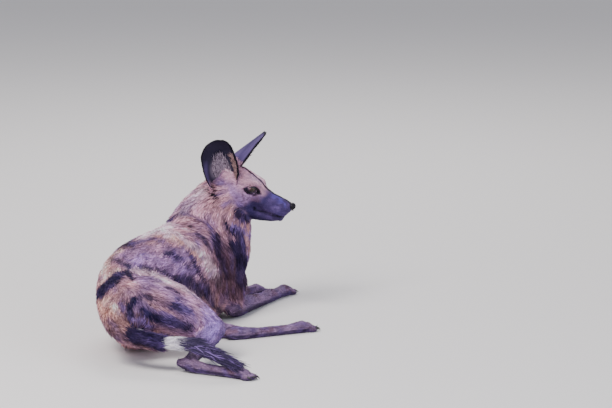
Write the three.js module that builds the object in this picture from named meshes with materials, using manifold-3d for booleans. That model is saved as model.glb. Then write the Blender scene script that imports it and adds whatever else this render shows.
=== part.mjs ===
// African wild dog (Lycaon pictus), life size, at rest on its chest and left hip with its head up.
// Millimetres. +X is the side that the muzzle and the hind legs point to, +Y runs from rump to
// shoulders, +Z is up. The floor is z = 0 and the origin is under the middle of the model.
import * as THREE from "three";
import { mergeVertices } from "three/addons/utils/BufferGeometryUtils.js";
import Module from "manifold-3d";

const wasm = await Module();
wasm.setup();
const { Manifold, Mesh } = wasm;

// Driving sizes.
const GAP = 0.35;
const EAR_HALF_WIDTH = 49;
const EAR_THICKNESS = 3.2;
const EYE_RADIUS = 11;
const TOES = 4;
const TOE_SPACING = 10.5;
const TOE_RADIUS = 8.5;
const CLAW_LENGTH = 13;
const BRUSH_LOCKS = 30;
const BRUSH_LOCK_LENGTH = 82;

// Each chain is a list of stations along one part of the body: x, y, z, half height, half width,
// and the direction of the height.
const TRUNK = [
  [-104, -292, 100, 46, 50, [-0.9, -0.1, 0.4]],
  [-113, -258, 112, 69, 66, [-0.92, -0.1, 0.38]],
  [-119, -200, 122, 83, 79, [-0.92, 0, 0.4]],
  [-126, -125, 134, 86, 78, [-0.86, 0, 0.5]],
  [-118, -45, 144, 98, 80, [-0.78, 0, 0.62]],
  [-90, 35, 146, 116, 90, [-0.68, 0.1, 0.72]],
  [-42, 115, 143, 130, 100, [-0.6, 0.2, 0.77]],
  [10, 188, 146, 134, 102, [-0.52, 0.2, 0.82]],
  [52, 248, 158, 132, 94, [-0.46, 0.2, 0.86]],
  [92, 298, 164, 106, 80, [-0.34, 0.1, 0.93]],
  [114, 330, 160, 80, 62, [-0.2, 0.1, 0.97]],
];
const BELLY = [
  [-112, -170, 56, 52, 50, [0, 0, 1]],
  [-74, -60, 54, 56, 62, [0, 0, 1]],
  [-26, 50, 56, 58, 68, [0, 0, 1]],
  [28, 150, 58, 60, 70, [0, 0, 1]],
  [78, 240, 58, 60, 62, [0, 0, 1]],
  [104, 290, 66, 54, 50, [0, 0, 1]],
];
const BREAST = [
  [118, 296, 106, 60, 54, [1, 0, 0]],
  [138, 312, 158, 62, 56, [1, 0, 0]],
  [146, 318, 210, 60, 56, [1, 0, 0]],
  [152, 324, 256, 52, 50, [1, 0, 0]],
];
const NECK = [
  [52, 246, 186, 112, 88, [-0.62, 0.1, 0.78]],
  [84, 296, 246, 103, 78, [-0.8, 0, 0.6]],
  [113, 322, 296, 84, 68, [-0.88, 0, 0.48]],
  [136, 334, 334, 66, 60, [-0.85, 0, 0.5]],
  [150, 338, 350, 48, 48, [-0.75, 0, 0.66]],
];
const HIND_RIGHT = {
  thigh: [
    [-100, -200, 160, 66, 50, [0, 0.9, 0.3]],
    [-62, -212, 152, 88, 62, [0, 0.9, 0.35]],
    [-14, -230, 134, 90, 60, [0, 0.9, 0.4]],
    [38, -244, 112, 76, 50, [0, 0.9, 0.4]],
    [82, -256, 92, 56, 41, [0, 0.9, 0.4]],
    [100, -262, 84, 45, 36, [0, 0.9, 0.4]],
  ],
  shank: [
    [102, -262, 82, 44, 36, [1, 0, 0]],
    [96, -304, 68, 36, 29, [1, 0, 0]],
    [78, -362, 49, 24, 21, [1, 0, 0]],
    [52, -436, 33, 17, 16, [1, 0, 0]],
  ],
  foot: [
    [22, -430, 26, 13, 12, [0, 0, 1]],
    [38, -437, 25, 19, 15, [0, 0, 1]],
    [58, -445, 23, 20, 17, [0, 0, 1]],
    [92, -462, 18, 15, 14, [0, 0, 1]],
    [152, -492, 16, 14, 15, [0, 0, 1]],
    [184, -508, 17, 18, 21, [0, 0, 1]],
    [201, -516, 14, 14, 20, [0, 0, 1]],
  ],
};
const HIND_LEFT = {
  thigh: [
    [-104, -192, 58, 50, 50, [0, 0, 1]],
    [-70, -104, 54, 54, 56, [0, 0, 1]],
    [-24, -16, 46, 46, 48, [0, 0, 1]],
    [8, 44, 38, 38, 38, [0, 0, 1]],
  ],
  shank: [
    [10, 48, 36, 36, 36, [0, 0, 1]],
    [60, 23, 29, 30, 32, [0, 0, 1]],
    [120, -4, 22, 23, 24, [0, 0, 1]],
    [182, -26, 18, 18, 18, [0, 0, 1]],
  ],
  foot: [
    [144, -42, 18, 13, 12, [0, 0, 1]],
    [162, -35, 19, 19, 15, [0, 0, 1]],
    [184, -26, 18, 19, 17, [0, 0, 1]],
    [230, -4, 15, 15, 14, [0, 0, 1]],
    [308, 36, 15, 14, 15, [0, 0, 1]],
    [346, 60, 17, 18, 21, [0, 0, 1]],
    [364, 72, 14, 14, 20, [0, 0, 1]],
  ],
};
const FORE_RIGHT = {
  shoulder: [
    [34, 226, 236, 56, 28, [0, 0.5, 0.8]],
    [96, 268, 194, 70, 38, [0, 0.5, 0.8]],
    [148, 304, 140, 52, 42, [0, 0.9, 0.3]],
    [158, 278, 92, 46, 38, [0, 0.9, 0.5]],
    [156, 250, 48, 34, 30, [0, 0.9, 0.5]],
  ],
  forearm: [
    [148, 228, 30, 22, 22, [0, 0, 1]],
    [166, 264, 31, 30, 28, [0, 0, 1]],
    [200, 344, 24, 23, 23, [0, 0, 1]],
    [240, 432, 17, 17, 18, [0, 0, 1]],
    [258, 472, 18, 19, 20, [0, 0, 1]],
  ],
  paw: [
    [253, 462, 17, 17, 18, [0, 0, 1]],
    [267, 490, 16, 17, 19, [0, 0, 1]],
    [283, 521, 16, 16, 19, [0, 0, 1]],
    [297, 546, 17, 18, 22, [0, 0, 1]],
    [306, 562, 13, 14, 20, [0, 0, 1]],
  ],
};
const FORE_LEFT = {
  shoulder: [
    [10, 296, 206, 56, 28, [0, 0.5, 0.8]],
    [34, 340, 160, 62, 34, [0, 0.5, 0.8]],
    [62, 388, 116, 46, 36, [0, 0.9, 0.3]],
    [36, 348, 72, 40, 34, [0, 0.9, 0.5]],
    [22, 304, 44, 30, 28, [0, 0.9, 0.5]],
  ],
  forearm: [
    [14, 286, 30, 22, 22, [0, 0, 1]],
    [40, 324, 30, 29, 27, [0, 0, 1]],
    [84, 384, 23, 22, 23, [0, 0, 1]],
    [136, 456, 17, 17, 18, [0, 0, 1]],
    [162, 491, 18, 19, 20, [0, 0, 1]],
  ],
  paw: [
    [156, 483, 17, 17, 18, [0, 0, 1]],
    [174, 505, 16, 17, 19, [0, 0, 1]],
    [197, 531, 16, 16, 19, [0, 0, 1]],
    [217, 553, 17, 18, 22, [0, 0, 1]],
    [229, 566, 13, 14, 20, [0, 0, 1]],
  ],
};
const TAIL = [
  [-146, -250, 142, 34, 34, [0, 0, 1]],
  [-158, -300, 124, 30, 28, [0, 0, 1]],
  [-146, -348, 104, 26, 25, [0, 0, 1]],
  [-110, -388, 89, 23, 22, [0, 0, 1]],
  [-64, -412, 82, 22, 22, [0, 0, 1]],
  [-30, -424, 79, 21, 21, [0, 0, 1]],
];
const BRUSH = [
  [-36, -422, 79, 15, 15, [0, 0, 1]],
  [-4, -432, 79, 17, 17, [0, 0, 1]],
  [50, -452, 80, 17, 17, [0, 0, 1]],
  [96, -476, 70, 15, 15, [0, 0, 1]],
  [136, -496, 56, 9, 10, [0, 0, 1]],
];

// The head has a frame of its own: forward along the muzzle, right, and up, turned towards +X.
const HEAD_ORIGIN = new THREE.Vector3(165, 338, 352);
const HEAD_YAW = THREE.MathUtils.degToRad(-14);
const HEAD_PITCH = THREE.MathUtils.degToRad(22);
const FORWARD = new THREE.Vector3(
  Math.cos(HEAD_YAW) * Math.cos(HEAD_PITCH),
  Math.sin(HEAD_YAW) * Math.cos(HEAD_PITCH),
  -Math.sin(HEAD_PITCH),
);
const UP = new THREE.Vector3(
  Math.cos(HEAD_YAW) * Math.sin(HEAD_PITCH),
  Math.sin(HEAD_YAW) * Math.sin(HEAD_PITCH),
  Math.cos(HEAD_PITCH),
);
const RIGHT = new THREE.Vector3().crossVectors(FORWARD, UP);

// Head stations: forward, up, half height, half width.
const SKULL = [
  [-52, 8, 40, 40],
  [-30, 12, 50, 54],
  [0, 12, 52, 61],
  [30, 12, 47, 61],
  [58, 9, 41, 53],
  [82, 5, 33, 42],
  [106, 2, 29, 34],
  [130, 2, 28, 30],
  [150, 4, 26, 28],
  [163, 8, 20, 24],
];
const JAW = [
  [6, -30, 30, 46],
  [38, -38, 30, 44],
  [70, -41, 26, 35],
  [100, -39, 20, 27],
  [130, -33, 15, 21],
  [152, -25, 13, 18],
];
const MOUTH = [
  [60, -24],
  [76, -27],
  [96, -24],
  [120, -21],
  [142, -19],
  [158, -17],
];
const HEAD_SWELLINGS = [
  { at: [14, 42, -12], size: [44, 22, 36], blend: 16 },
  { at: [-24, 46, 32], size: [26, 20, 24], blend: 14 },
  { at: [50, 31, 37], size: [24, 15, 10], blend: 9 },
  { at: [58, 42, 5], size: [34, 14, 13], blend: 12 },
  { at: [122, 17, -11], size: [38, 14, 15], blend: 10 },
  { at: [104, 0, 16], size: [62, 17, 14], blend: 10 },
];
const EYE_HOLLOW = { at: [63, 47, 23], size: [19, 11, 11], blend: 8 };
const EYE = [55, 40, 24];
const NOSE = [169, 0, 14];

// Point of the head's frame as a place of the model.
function onHead(forward, right, up) {
  return HEAD_ORIGIN.clone()
    .addScaledVector(FORWARD, forward)
    .addScaledVector(RIGHT, right)
    .addScaledVector(UP, up);
}

// A smooth run of rings through the stations, as rows of numbers.
function smoothRows(stations, steps) {
  const rows = stations.map((s) => {
    const up = new THREE.Vector3(...s[5]).normalize();
    return [s[0], s[1], s[2], s[3], s[4], up.x, up.y, up.z];
  });
  const beyond = (a, b) => a.map((value, i) => 2 * value - b[i]);
  const last = rows.length - 1;
  const p = [beyond(rows[0], rows[1]), ...rows, beyond(rows[last], rows[last - 1])];
  const out = [];
  for (let i = 1; i <= last; i++) {
    for (let k = 0; k < steps; k++) {
      const t = k / steps;
      out.push(
        rows[0].map((_, c) => {
          const [a, b, d, e] = [p[i - 1][c], p[i][c], p[i + 1][c], p[i + 2][c]];
          const square = (2 * a - 5 * b + 4 * d - e) * t * t;
          const cube = (3 * b - a - 3 * d + e) * t * t * t;
          return 0.5 * (2 * b + (d - a) * t + square + cube);
        }),
      );
    }
  }
  out.push(rows[last]);
  return out;
}

function asSolid(points, faces) {
  const g = new THREE.BufferGeometry();
  const flat = new Float32Array(points.length * 3);
  points.forEach((p, i) => flat.set([p.x, p.y, p.z], i * 3));
  g.setAttribute("position", new THREE.BufferAttribute(flat, 3));
  g.setIndex(faces.flat());
  return solidFrom(g);
}

// A closed geometry as a solid, with its shared corners merged.
function solidFrom(geometry) {
  const g = geometry.clone();
  g.deleteAttribute("normal");
  g.deleteAttribute("uv");
  const merged = mergeVertices(g, 1e-3);
  const mesh = new Mesh({
    numProp: 3,
    vertProperties: new Float32Array(merged.attributes.position.array),
    triVerts: new Uint32Array(merged.index.array),
  });
  return new Manifold(mesh);
}

// Closed skin over rings of points, with a tip at each end.
function ringSolid(ringsOfPoints, tipA, tipB) {
  const around = ringsOfPoints[0].length;
  const points = ringsOfPoints.flat();
  const a = points.push(tipA) - 1;
  const b = points.push(tipB) - 1;
  const faces = [];
  const end = (ringsOfPoints.length - 1) * around;
  for (let i = 0; i < ringsOfPoints.length - 1; i++) {
    for (let j = 0; j < around; j++) {
      const k = (j + 1) % around;
      const low = i * around;
      const high = low + around;
      faces.push([low + j, low + k, high + k], [low + j, high + k, high + j]);
    }
  }
  for (let j = 0; j < around; j++) {
    const k = (j + 1) % around;
    faces.push([a, k, j], [b, end + j, end + k]);
  }
  return asSolid(points, faces);
}

// A chain as a closed round body: rings at each step, drawn in to a rounded end at both ends.
const CAP_RINGS = 2;
const CAP_DEPTH = 0.8;

// Field of a run of rows: below zero inside its oval sections.
function tubeField(rows, p) {
  let least = Infinity;
  for (let i = 0; i < rows.length - 1; i++) {
    const [a, b] = [rows[i], rows[i + 1]];
    const start = new THREE.Vector3(a[0], a[1], a[2]);
    const run = new THREE.Vector3(b[0], b[1], b[2]).sub(start);
    const off = p.clone().sub(start);
    const t = THREE.MathUtils.clamp(off.dot(run) / run.lengthSq(), 0, 1);
    const mix = a.map((value, k) => value + (b[k] - value) * t);
    const tangent = run.normalize();
    const up = new THREE.Vector3(mix[5], mix[6], mix[7]);
    up.addScaledVector(tangent, -up.dot(tangent)).normalize();
    const side = new THREE.Vector3().crossVectors(tangent, up);
    const away = p.clone().sub(new THREE.Vector3(mix[0], mix[1], mix[2]));
    const small = Math.min(mix[3], mix[4]);
    const parts = [away.dot(up) / mix[3], away.dot(side) / mix[4], away.dot(tangent) / small];
    least = Math.min(least, (Math.hypot(...parts) - 1) * small);
  }
  return least;
}

// A ring's points pushed out to the blended skin of the chain and of the one that it merges with.
const MERGE_BLEND = 34;
const MERGE_STEP = 3;
const MERGE_REACH = 120;
function mergeOut(rows, otherRows) {
  const merged = (p) => softMin(tubeField(rows, p), tubeField(otherRows, p), MERGE_BLEND);
  return (point, centre, grow) => {
    const out = point.clone().sub(centre).normalize();
    const at = (reach) => point.clone().addScaledVector(out, reach);
    let inside = 0;
    for (let reach = 0; reach < MERGE_REACH; reach += MERGE_STEP) {
      if (merged(at(reach)) < grow) {
        inside = reach;
      }
    }
    let outside = inside + MERGE_STEP;
    for (let k = 0; k < 12; k++) {
      const middle = (inside + outside) / 2;
      if (merged(at(middle)) < grow) {
        inside = middle;
      } else {
        outside = middle;
      }
    }
    return at(inside);
  };
}

function loft(stations, around = 14, steps = 2, grow = 0, capRings = CAP_RINGS, other = null) {
  const rows = smoothRows(stations, steps);
  const push = other ? mergeOut(rows, smoothRows(other, 2)) : (point) => point;
  const centre = rows.map((r) => new THREE.Vector3(r[0], r[1], r[2]));
  const tangents = centre.map((_, i) => {
    const before = centre[Math.max(0, i - 1)];
    const after = centre[Math.min(centre.length - 1, i + 1)];
    return after.clone().sub(before).normalize();
  });
  const rings = rows.map((r, i) => {
    const up = new THREE.Vector3(r[5], r[6], r[7]);
    up.addScaledVector(tangents[i], -up.dot(tangents[i])).normalize();
    const side = new THREE.Vector3().crossVectors(tangents[i], up);
    return Array.from({ length: around }, (_, j) => {
      const angle = (2 * Math.PI * j) / around;
      const point = centre[i]
        .clone()
        .addScaledVector(up, (r[3] + grow) * Math.cos(angle))
        .addScaledVector(side, (r[4] + grow) * Math.sin(angle));
      return push(point, centre[i], grow);
    });
  });
  const cap = (i, sign) => {
    const depth = ((rows[i][3] + rows[i][4]) / 2) * CAP_DEPTH + grow;
    const made = [];
    for (let k = 1; k <= capRings; k++) {
      const angle = (k / (capRings + 1)) * (Math.PI / 2);
      const shift = tangents[i].clone().multiplyScalar(sign * depth * Math.sin(angle));
      made.push(
        rings[i].map((p) =>
          p.clone().sub(centre[i]).multiplyScalar(Math.cos(angle)).add(centre[i]).add(shift),
        ),
      );
    }
    return [made, centre[i].clone().addScaledVector(tangents[i], sign * depth)];
  };
  const [startCap, startTip] = cap(0, -1);
  const [endCap, endTip] = cap(rows.length - 1, 1);
  return ringSolid([...startCap.reverse(), ...rings, ...endCap], startTip, endTip);
}

// An egg shape with three half sizes along three directions.
function egg(centre, along, up, sizes, wide = 12, tall = 8, grow = 0) {
  const g = new THREE.SphereGeometry(1, wide, tall);
  const x = along.clone().normalize();
  const z = up.clone().addScaledVector(x, -up.dot(x)).normalize();
  const y = new THREE.Vector3().crossVectors(z, x);
  const m = new THREE.Matrix4().makeBasis(
    x.multiplyScalar(sizes[0] + grow),
    y.multiplyScalar(sizes[1] + grow),
    z.multiplyScalar(sizes[2] + grow),
  );
  m.setPosition(centre);
  return solidFrom(g.applyMatrix4(m));
}

function join(solids) {
  return solids.reduce((all, s) => all.add(s));
}

function largest(solid) {
  const bodies = solid.decompose();
  return bodies.reduce((best, s) => (s.volume() > best.volume() ? s : best));
}

// Toes, each a short egg with a claw, fanned across the end of a paw.
function toes(stations, grow) {
  const end = new THREE.Vector3(...stations[stations.length - 1].slice(0, 3));
  const before = new THREE.Vector3(...stations[stations.length - 2].slice(0, 3));
  const ahead = end.clone().sub(before).setZ(0).normalize();
  const across = new THREE.Vector3(-ahead.y, ahead.x, 0);
  const floorUp = new THREE.Vector3(0, 0, 1);
  const made = [];
  for (let i = 0; i < TOES; i++) {
    const place = i - (TOES - 1) / 2;
    const inner = Math.abs(place) < 1;
    const reach = inner ? 12 : 4;
    const heading = ahead.clone().addScaledVector(across, place * 0.1).normalize();
    const centre = end
      .clone()
      .addScaledVector(across, place * TOE_SPACING)
      .addScaledVector(heading, reach)
      .setZ(TOE_RADIUS + 0.5);
    const sizes = [TOE_RADIUS * 1.9, TOE_RADIUS * 0.78, TOE_RADIUS * 1.18];
    made.push(egg(centre, heading, floorUp, sizes, 8, 5, grow));
    made.push(claw(centre.clone().addScaledVector(heading, TOE_RADIUS * 1.5), heading, grow));
  }
  return made;
}

// One blunt claw, curving down to just above the floor.
function claw(root, heading, grow) {
  const p = (ahead, z) => [root.x + heading.x * ahead, root.y + heading.y * ahead, z];
  const stations = [
    [...p(-5, 10), 3.2, 2.6, [0, 0, 1]],
    [...p(CLAW_LENGTH * 0.45, 9), 2.6, 2, [0, 0, 1]],
    [...p(CLAW_LENGTH * 0.9, 4.5), 1.2, 0.9, [0, 0, 1]],
  ];
  return loft(stations, 4, 1, grow, 0);
}

function paw(stations, grow) {
  return [loft(stations, 10, 1, grow, 1), ...toes(stations, grow)];
}

// An ear is a round cup of even thickness, nearly a tube at its root and an open dish at its top.
const EARS = {
  right: {
    root: new THREE.Vector3(124, 312, 364),
    top: new THREE.Vector3(107, 266, 494),
    opening: new THREE.Vector3(0.3, -0.93, 0.1),
    lean: 14,
  },
  left: {
    root: new THREE.Vector3(158, 372, 384),
    top: new THREE.Vector3(258, 424, 492),
    opening: new THREE.Vector3(0.96, 0.14, -0.3),
    lean: 16,
  },
};
const EAR_START = -0.06;
const EAR_END = 0.99;
const EAR_ROWS = 12;
const EAR_COLUMNS = 12;
const EAR_WIDEST = 0.5;
const EAR_ROOT_SHARE = 0.66;
const EAR_LOBE = { share: 0.62, end: 0.18 };
function earHalfWidth(s) {
  if (s > EAR_WIDEST) {
    const t = (s - EAR_WIDEST) / (1 - EAR_WIDEST);
    return EAR_HALF_WIDTH * Math.sqrt(Math.max(0, 1 - t * t));
  }
  const t = s / EAR_WIDEST;
  return EAR_HALF_WIDTH * (EAR_ROOT_SHARE + (1 - EAR_ROOT_SHARE) * t * t * (3 - 2 * t));
}
function earSolid({ root, top, opening, lean }) {
  const axis = top.clone().sub(root);
  const height = axis.length();
  axis.normalize();
  const open = opening.clone().addScaledVector(axis, -opening.dot(axis)).normalize();
  const side = new THREE.Vector3().crossVectors(axis, open);
  const inner = [];
  const outer = [];
  for (let i = 0; i <= EAR_ROWS; i++) {
    const s = EAR_START + (EAR_END - EAR_START) * (i / EAR_ROWS);
    const halfWidth = Math.max(earHalfWidth(Math.max(0, s)), 4);
    const lobe = THREE.MathUtils.smoothstep(s, EAR_START, EAR_LOBE.end);
    const wrap = THREE.MathUtils.lerp(128, 52, Math.min(1, s * 1.5));
    const half = THREE.MathUtils.degToRad(wrap * THREE.MathUtils.lerp(EAR_LOBE.share, 1, lobe));
    const radius = halfWidth / Math.sin(Math.min(half, Math.PI / 2));
    const bend = lean * Math.max(0, s) ** 2;
    for (let j = 0; j <= EAR_COLUMNS; j++) {
      const t = (2 * j) / EAR_COLUMNS - 1;
      const angle = t * half;
      const thick = EAR_THICKNESS * (1 - 0.45 * t * t) * (1 - 0.3 * Math.max(0, s));
      const at = (r) =>
        root
          .clone()
          .addScaledVector(axis, s * height)
          .addScaledVector(side, r * Math.sin(angle))
          .addScaledVector(open, -r * Math.cos(angle) + radius * 0.45 - bend);
      inner.push(at(radius - thick / 2));
      outer.push(at(radius + thick / 2));
    }
  }
  const columns = EAR_COLUMNS + 1;
  const count = inner.length;
  const faces = [];
  const quad = (a, b, c, d) => faces.push([a, b, c], [a, c, d]);
  for (let i = 0; i < EAR_ROWS; i++) {
    for (let j = 0; j < EAR_COLUMNS; j++) {
      const a = i * columns + j;
      quad(a, a + 1, a + columns + 1, a + columns);
      faces.push([count + a, count + a + columns + 1, count + a + 1]);
      faces.push([count + a, count + a + columns, count + a + columns + 1]);
    }
    const left = i * columns;
    const right = left + EAR_COLUMNS;
    quad(left, left + columns, count + left + columns, count + left);
    quad(right, count + right, count + right + columns, right + columns);
  }
  for (let j = 0; j < EAR_COLUMNS; j++) {
    const high = EAR_ROWS * columns + j;
    quad(j, count + j, count + j + 1, j + 1);
    quad(high, high + 1, count + high + 1, count + high);
  }
  const solid = asSolid([...inner, ...outer], faces);
  return solid.volume() > 0 ? solid : asSolid([...inner, ...outer], faces.map((f) => f.reverse()));
}

// Radius of a straight head chain at one place along it, as a field that is zero on its skin.
function chainField(stations, forward, right, up) {
  const last = stations.length - 1;
  const f = Math.min(Math.max(forward, stations[0][0]), stations[last][0]);
  let i = 0;
  while (i < last - 1 && stations[i + 1][0] < f) {
    i++;
  }
  const [a, b] = [stations[i], stations[i + 1]];
  const t = (f - a[0]) / (b[0] - a[0]);
  const mid = a[1] + (b[1] - a[1]) * t;
  const high = a[2] + (b[2] - a[2]) * t;
  const wide = a[3] + (b[3] - a[3]) * t;
  const along = (forward - f) / (CAP_DEPTH * Math.min(high, wide));
  const least = Math.min(high, wide);
  return (Math.hypot((up - mid) / high, right / wide, along) - 1) * least;
}

function eggField({ at, size }, forward, right, up) {
  const [a, b, c] = [(forward - at[0]) / size[0], (right - at[1]) / size[1], (up - at[2]) / size[2]];
  const near = Math.hypot(a, b, c);
  const slope = Math.hypot(a / size[0], b / size[1], c / size[2]);
  return slope > 0 ? (near * (near - 1)) / slope : -Math.min(...size);
}

function softMin(a, b, blend) {
  const h = Math.max(blend - Math.abs(a - b), 0) / blend;
  return Math.min(a, b) - (h * h * blend) / 4;
}

// Distance to the skin of the head: skull and jaw, with cheeks, brows and lips, less the eye hollows.
const JAW_BLEND = 9;
function headField(forward, right, up) {
  const side = Math.abs(right);
  let d = softMin(
    chainField(SKULL, forward, side, up),
    chainField(JAW, forward, side, up),
    JAW_BLEND,
  );
  for (const swelling of HEAD_SWELLINGS) {
    d = softMin(d, eggField(swelling, forward, side, up), swelling.blend);
  }
  return -softMin(-d, eggField(EYE_HOLLOW, forward, side, up), EYE_HOLLOW.blend);
}

// How far the skin lies from a place inside the head, along a direction in the head's frame.
const HEAD_REACH = 130;
function headSkin(from, direction, grow = 0) {
  let low = 0;
  let high = HEAD_REACH;
  for (let t = HEAD_REACH; t > 0; t -= 4) {
    const place = from.map((value, i) => value + direction[i] * t);
    if (headField(...place) < grow) {
      low = t;
      break;
    }
    high = t;
  }
  for (let k = 0; k < 20; k++) {
    const middle = (low + high) / 2;
    const place = from.map((value, i) => value + direction[i] * middle);
    if (headField(...place) < grow) {
      low = middle;
    } else {
      high = middle;
    }
  }
  return from.map((value, i) => value + direction[i] * low);
}

// Rings over the head: fans of rays at its back and front, and straight rings between.
const HEAD_AXIS = [
  [-34, 8],
  [152, -6],
];
const HEAD_RINGS = 20;
const HEAD_AROUND = 24;
const HEAD_FAN = 3;
function headBlock(grow = 0) {
  const [[back, backUp], [front, frontUp]] = HEAD_AXIS;
  const rays = [];
  for (let k = 1; k < HEAD_FAN; k++) {
    rays.push([back, backUp, Math.PI - (k / HEAD_FAN) * (Math.PI / 2)]);
  }
  for (let i = 0; i <= HEAD_RINGS; i++) {
    const t = i / HEAD_RINGS;
    rays.push([back + (front - back) * t, backUp + (frontUp - backUp) * t, Math.PI / 2]);
  }
  for (let k = 1; k < HEAD_FAN; k++) {
    rays.push([front, frontUp, (1 - k / HEAD_FAN) * (Math.PI / 2)]);
  }
  const rings = rays.map(([forward, up, polar]) =>
    Array.from({ length: HEAD_AROUND }, (_, j) => {
      const angle = (2 * Math.PI * j) / HEAD_AROUND;
      const out = Math.sin(polar);
      const direction = [Math.cos(polar), out * Math.sin(angle), out * Math.cos(angle)];
      return onHead(...headSkin([forward, 0, up], direction, grow));
    }),
  );
  const tipA = onHead(...headSkin([back, 0, backUp], [-1, 0, 0], grow));
  const tipB = onHead(...headSkin([front, 0, frontUp], [1, 0, 0], grow));
  return ringSolid(rings, tipA, tipB);
}

// The head with its lids, and the line of the mouth cut in.
const SIDES = { right: 1, left: -1 };
const MOUTH_DEPTH = 3.5;
function headSolid() {
  let head = join([headBlock(), ...Object.values(SIDES).flatMap(lids)]);
  for (const sign of Object.values(SIDES)) {
    const path = MOUTH.map(([forward, up]) => {
      const p = onHead(...headSkin([forward, 0, up], [0, sign, 0]));
      return [p.x, p.y, p.z, 1.3, MOUTH_DEPTH, UP.toArray()];
    });
    head = head.subtract(loft(path, 4, 1, 0, 0));
  }
  return head;
}

const LID_STEPS = 5;
// Upper and lower lid, each a thin roll round the front of the eyeball.
function lids(sign) {
  const centre = onHead(EYE[0], sign * EYE[1], EYE[2]);
  const out = RIGHT.clone().multiplyScalar(sign).addScaledVector(FORWARD, 0.42).normalize();
  const along = FORWARD.clone().addScaledVector(out, -FORWARD.dot(out)).normalize();
  const up = new THREE.Vector3().crossVectors(out, along).multiplyScalar(sign);
  const roll = (rise, thick) => {
    const stations = [];
    for (let k = 0; k <= LID_STEPS; k++) {
      const a = (k / LID_STEPS) * Math.PI;
      const w = Math.cos(a) * (EYE_RADIUS + 3.5);
      const h = Math.sin(a) * rise;
      const depth = Math.sqrt(Math.max(0, (EYE_RADIUS + 0.5) ** 2 - h * h - w * w * 0.6));
      const p = centre
        .clone()
        .addScaledVector(along, w)
        .addScaledVector(up, h)
        .addScaledVector(out, depth * 0.92);
      stations.push([p.x, p.y, p.z, thick, thick, out.toArray()]);
    }
    return loft(stations, 5, 1, 0, 0);
  };
  return [roll(6, 2.4), roll(-5, 2)];
}

function noseSolid(grow) {
  const pad = egg(onHead(...NOSE), FORWARD, UP, [11, 14.5, 11], 12, 8, grow);
  if (grow) {
    return pad;
  }
  const nostrils = Object.values(SIDES).map((sign) =>
    egg(onHead(NOSE[0] + 11, sign * 6.5, NOSE[2] + 1), FORWARD, UP, [7, 3, 3.4], 8, 6),
  );
  return pad.subtract(join(nostrils));
}

function eyeball(sign, grow) {
  const centre = onHead(EYE[0], sign * EYE[1], EYE[2]);
  const radius = EYE_RADIUS + grow;
  return solidFrom(new THREE.SphereGeometry(radius, 12, 8).translate(centre.x, centre.y, centre.z));
}

// Flat tapered locks set round the brush, lying back along the tail and out at the tips.
function brushSolid() {
  const rows = smoothRows(BRUSH, 6);
  const parts = [loft(BRUSH, 8, 1, 0, 1)];
  const goldenTurn = 2.39996;
  for (let i = 0; i < BRUSH_LOCKS; i++) {
    const share = (i + 0.5) / BRUSH_LOCKS;
    const place = Math.floor(share * (rows.length - 2));
    const here = new THREE.Vector3(...rows[place].slice(0, 3));
    const next = new THREE.Vector3(...rows[place + 1].slice(0, 3));
    const ahead = next.sub(here).normalize();
    const angle = i * goldenTurn;
    const up = new THREE.Vector3(0, 0, 1).addScaledVector(ahead, -ahead.z).normalize();
    const side = new THREE.Vector3().crossVectors(ahead, up);
    const out = up.multiplyScalar(Math.cos(angle)).addScaledVector(side, Math.sin(angle));
    const core = rows[place][3];
    const length = BRUSH_LOCK_LENGTH * (0.8 + 0.2 * Math.sin(i * 1.7));
    const p = (along, away) =>
      here.clone().addScaledVector(ahead, along).addScaledVector(out, away);
    const flat = out.toArray();
    const stations = [
      [...p(0, core * 0.55).toArray(), 3, 7, flat],
      [...p(length * 0.35, core + 4).toArray(), 2.6, 8, flat],
      [...p(length * 0.7, core + 6).toArray(), 1.8, 5.5, flat],
      [...p(length, core + 3).toArray(), 0.8, 1.6, flat],
    ];
    parts.push(loft(stations, 4, 1, 0, 0));
  }
  return join(parts);
}

const COLOURS = {
  tan: [0.72, 0.52, 0.38],
  dark: [0.13, 0.11, 0.15],
  brown: [0.42, 0.3, 0.26],
  muzzle: [0.22, 0.19, 0.3],
  ear: [0.1, 0.08, 0.11],
  nose: [0.05, 0.05, 0.08],
  eye: [0.16, 0.09, 0.05],
};

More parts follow.
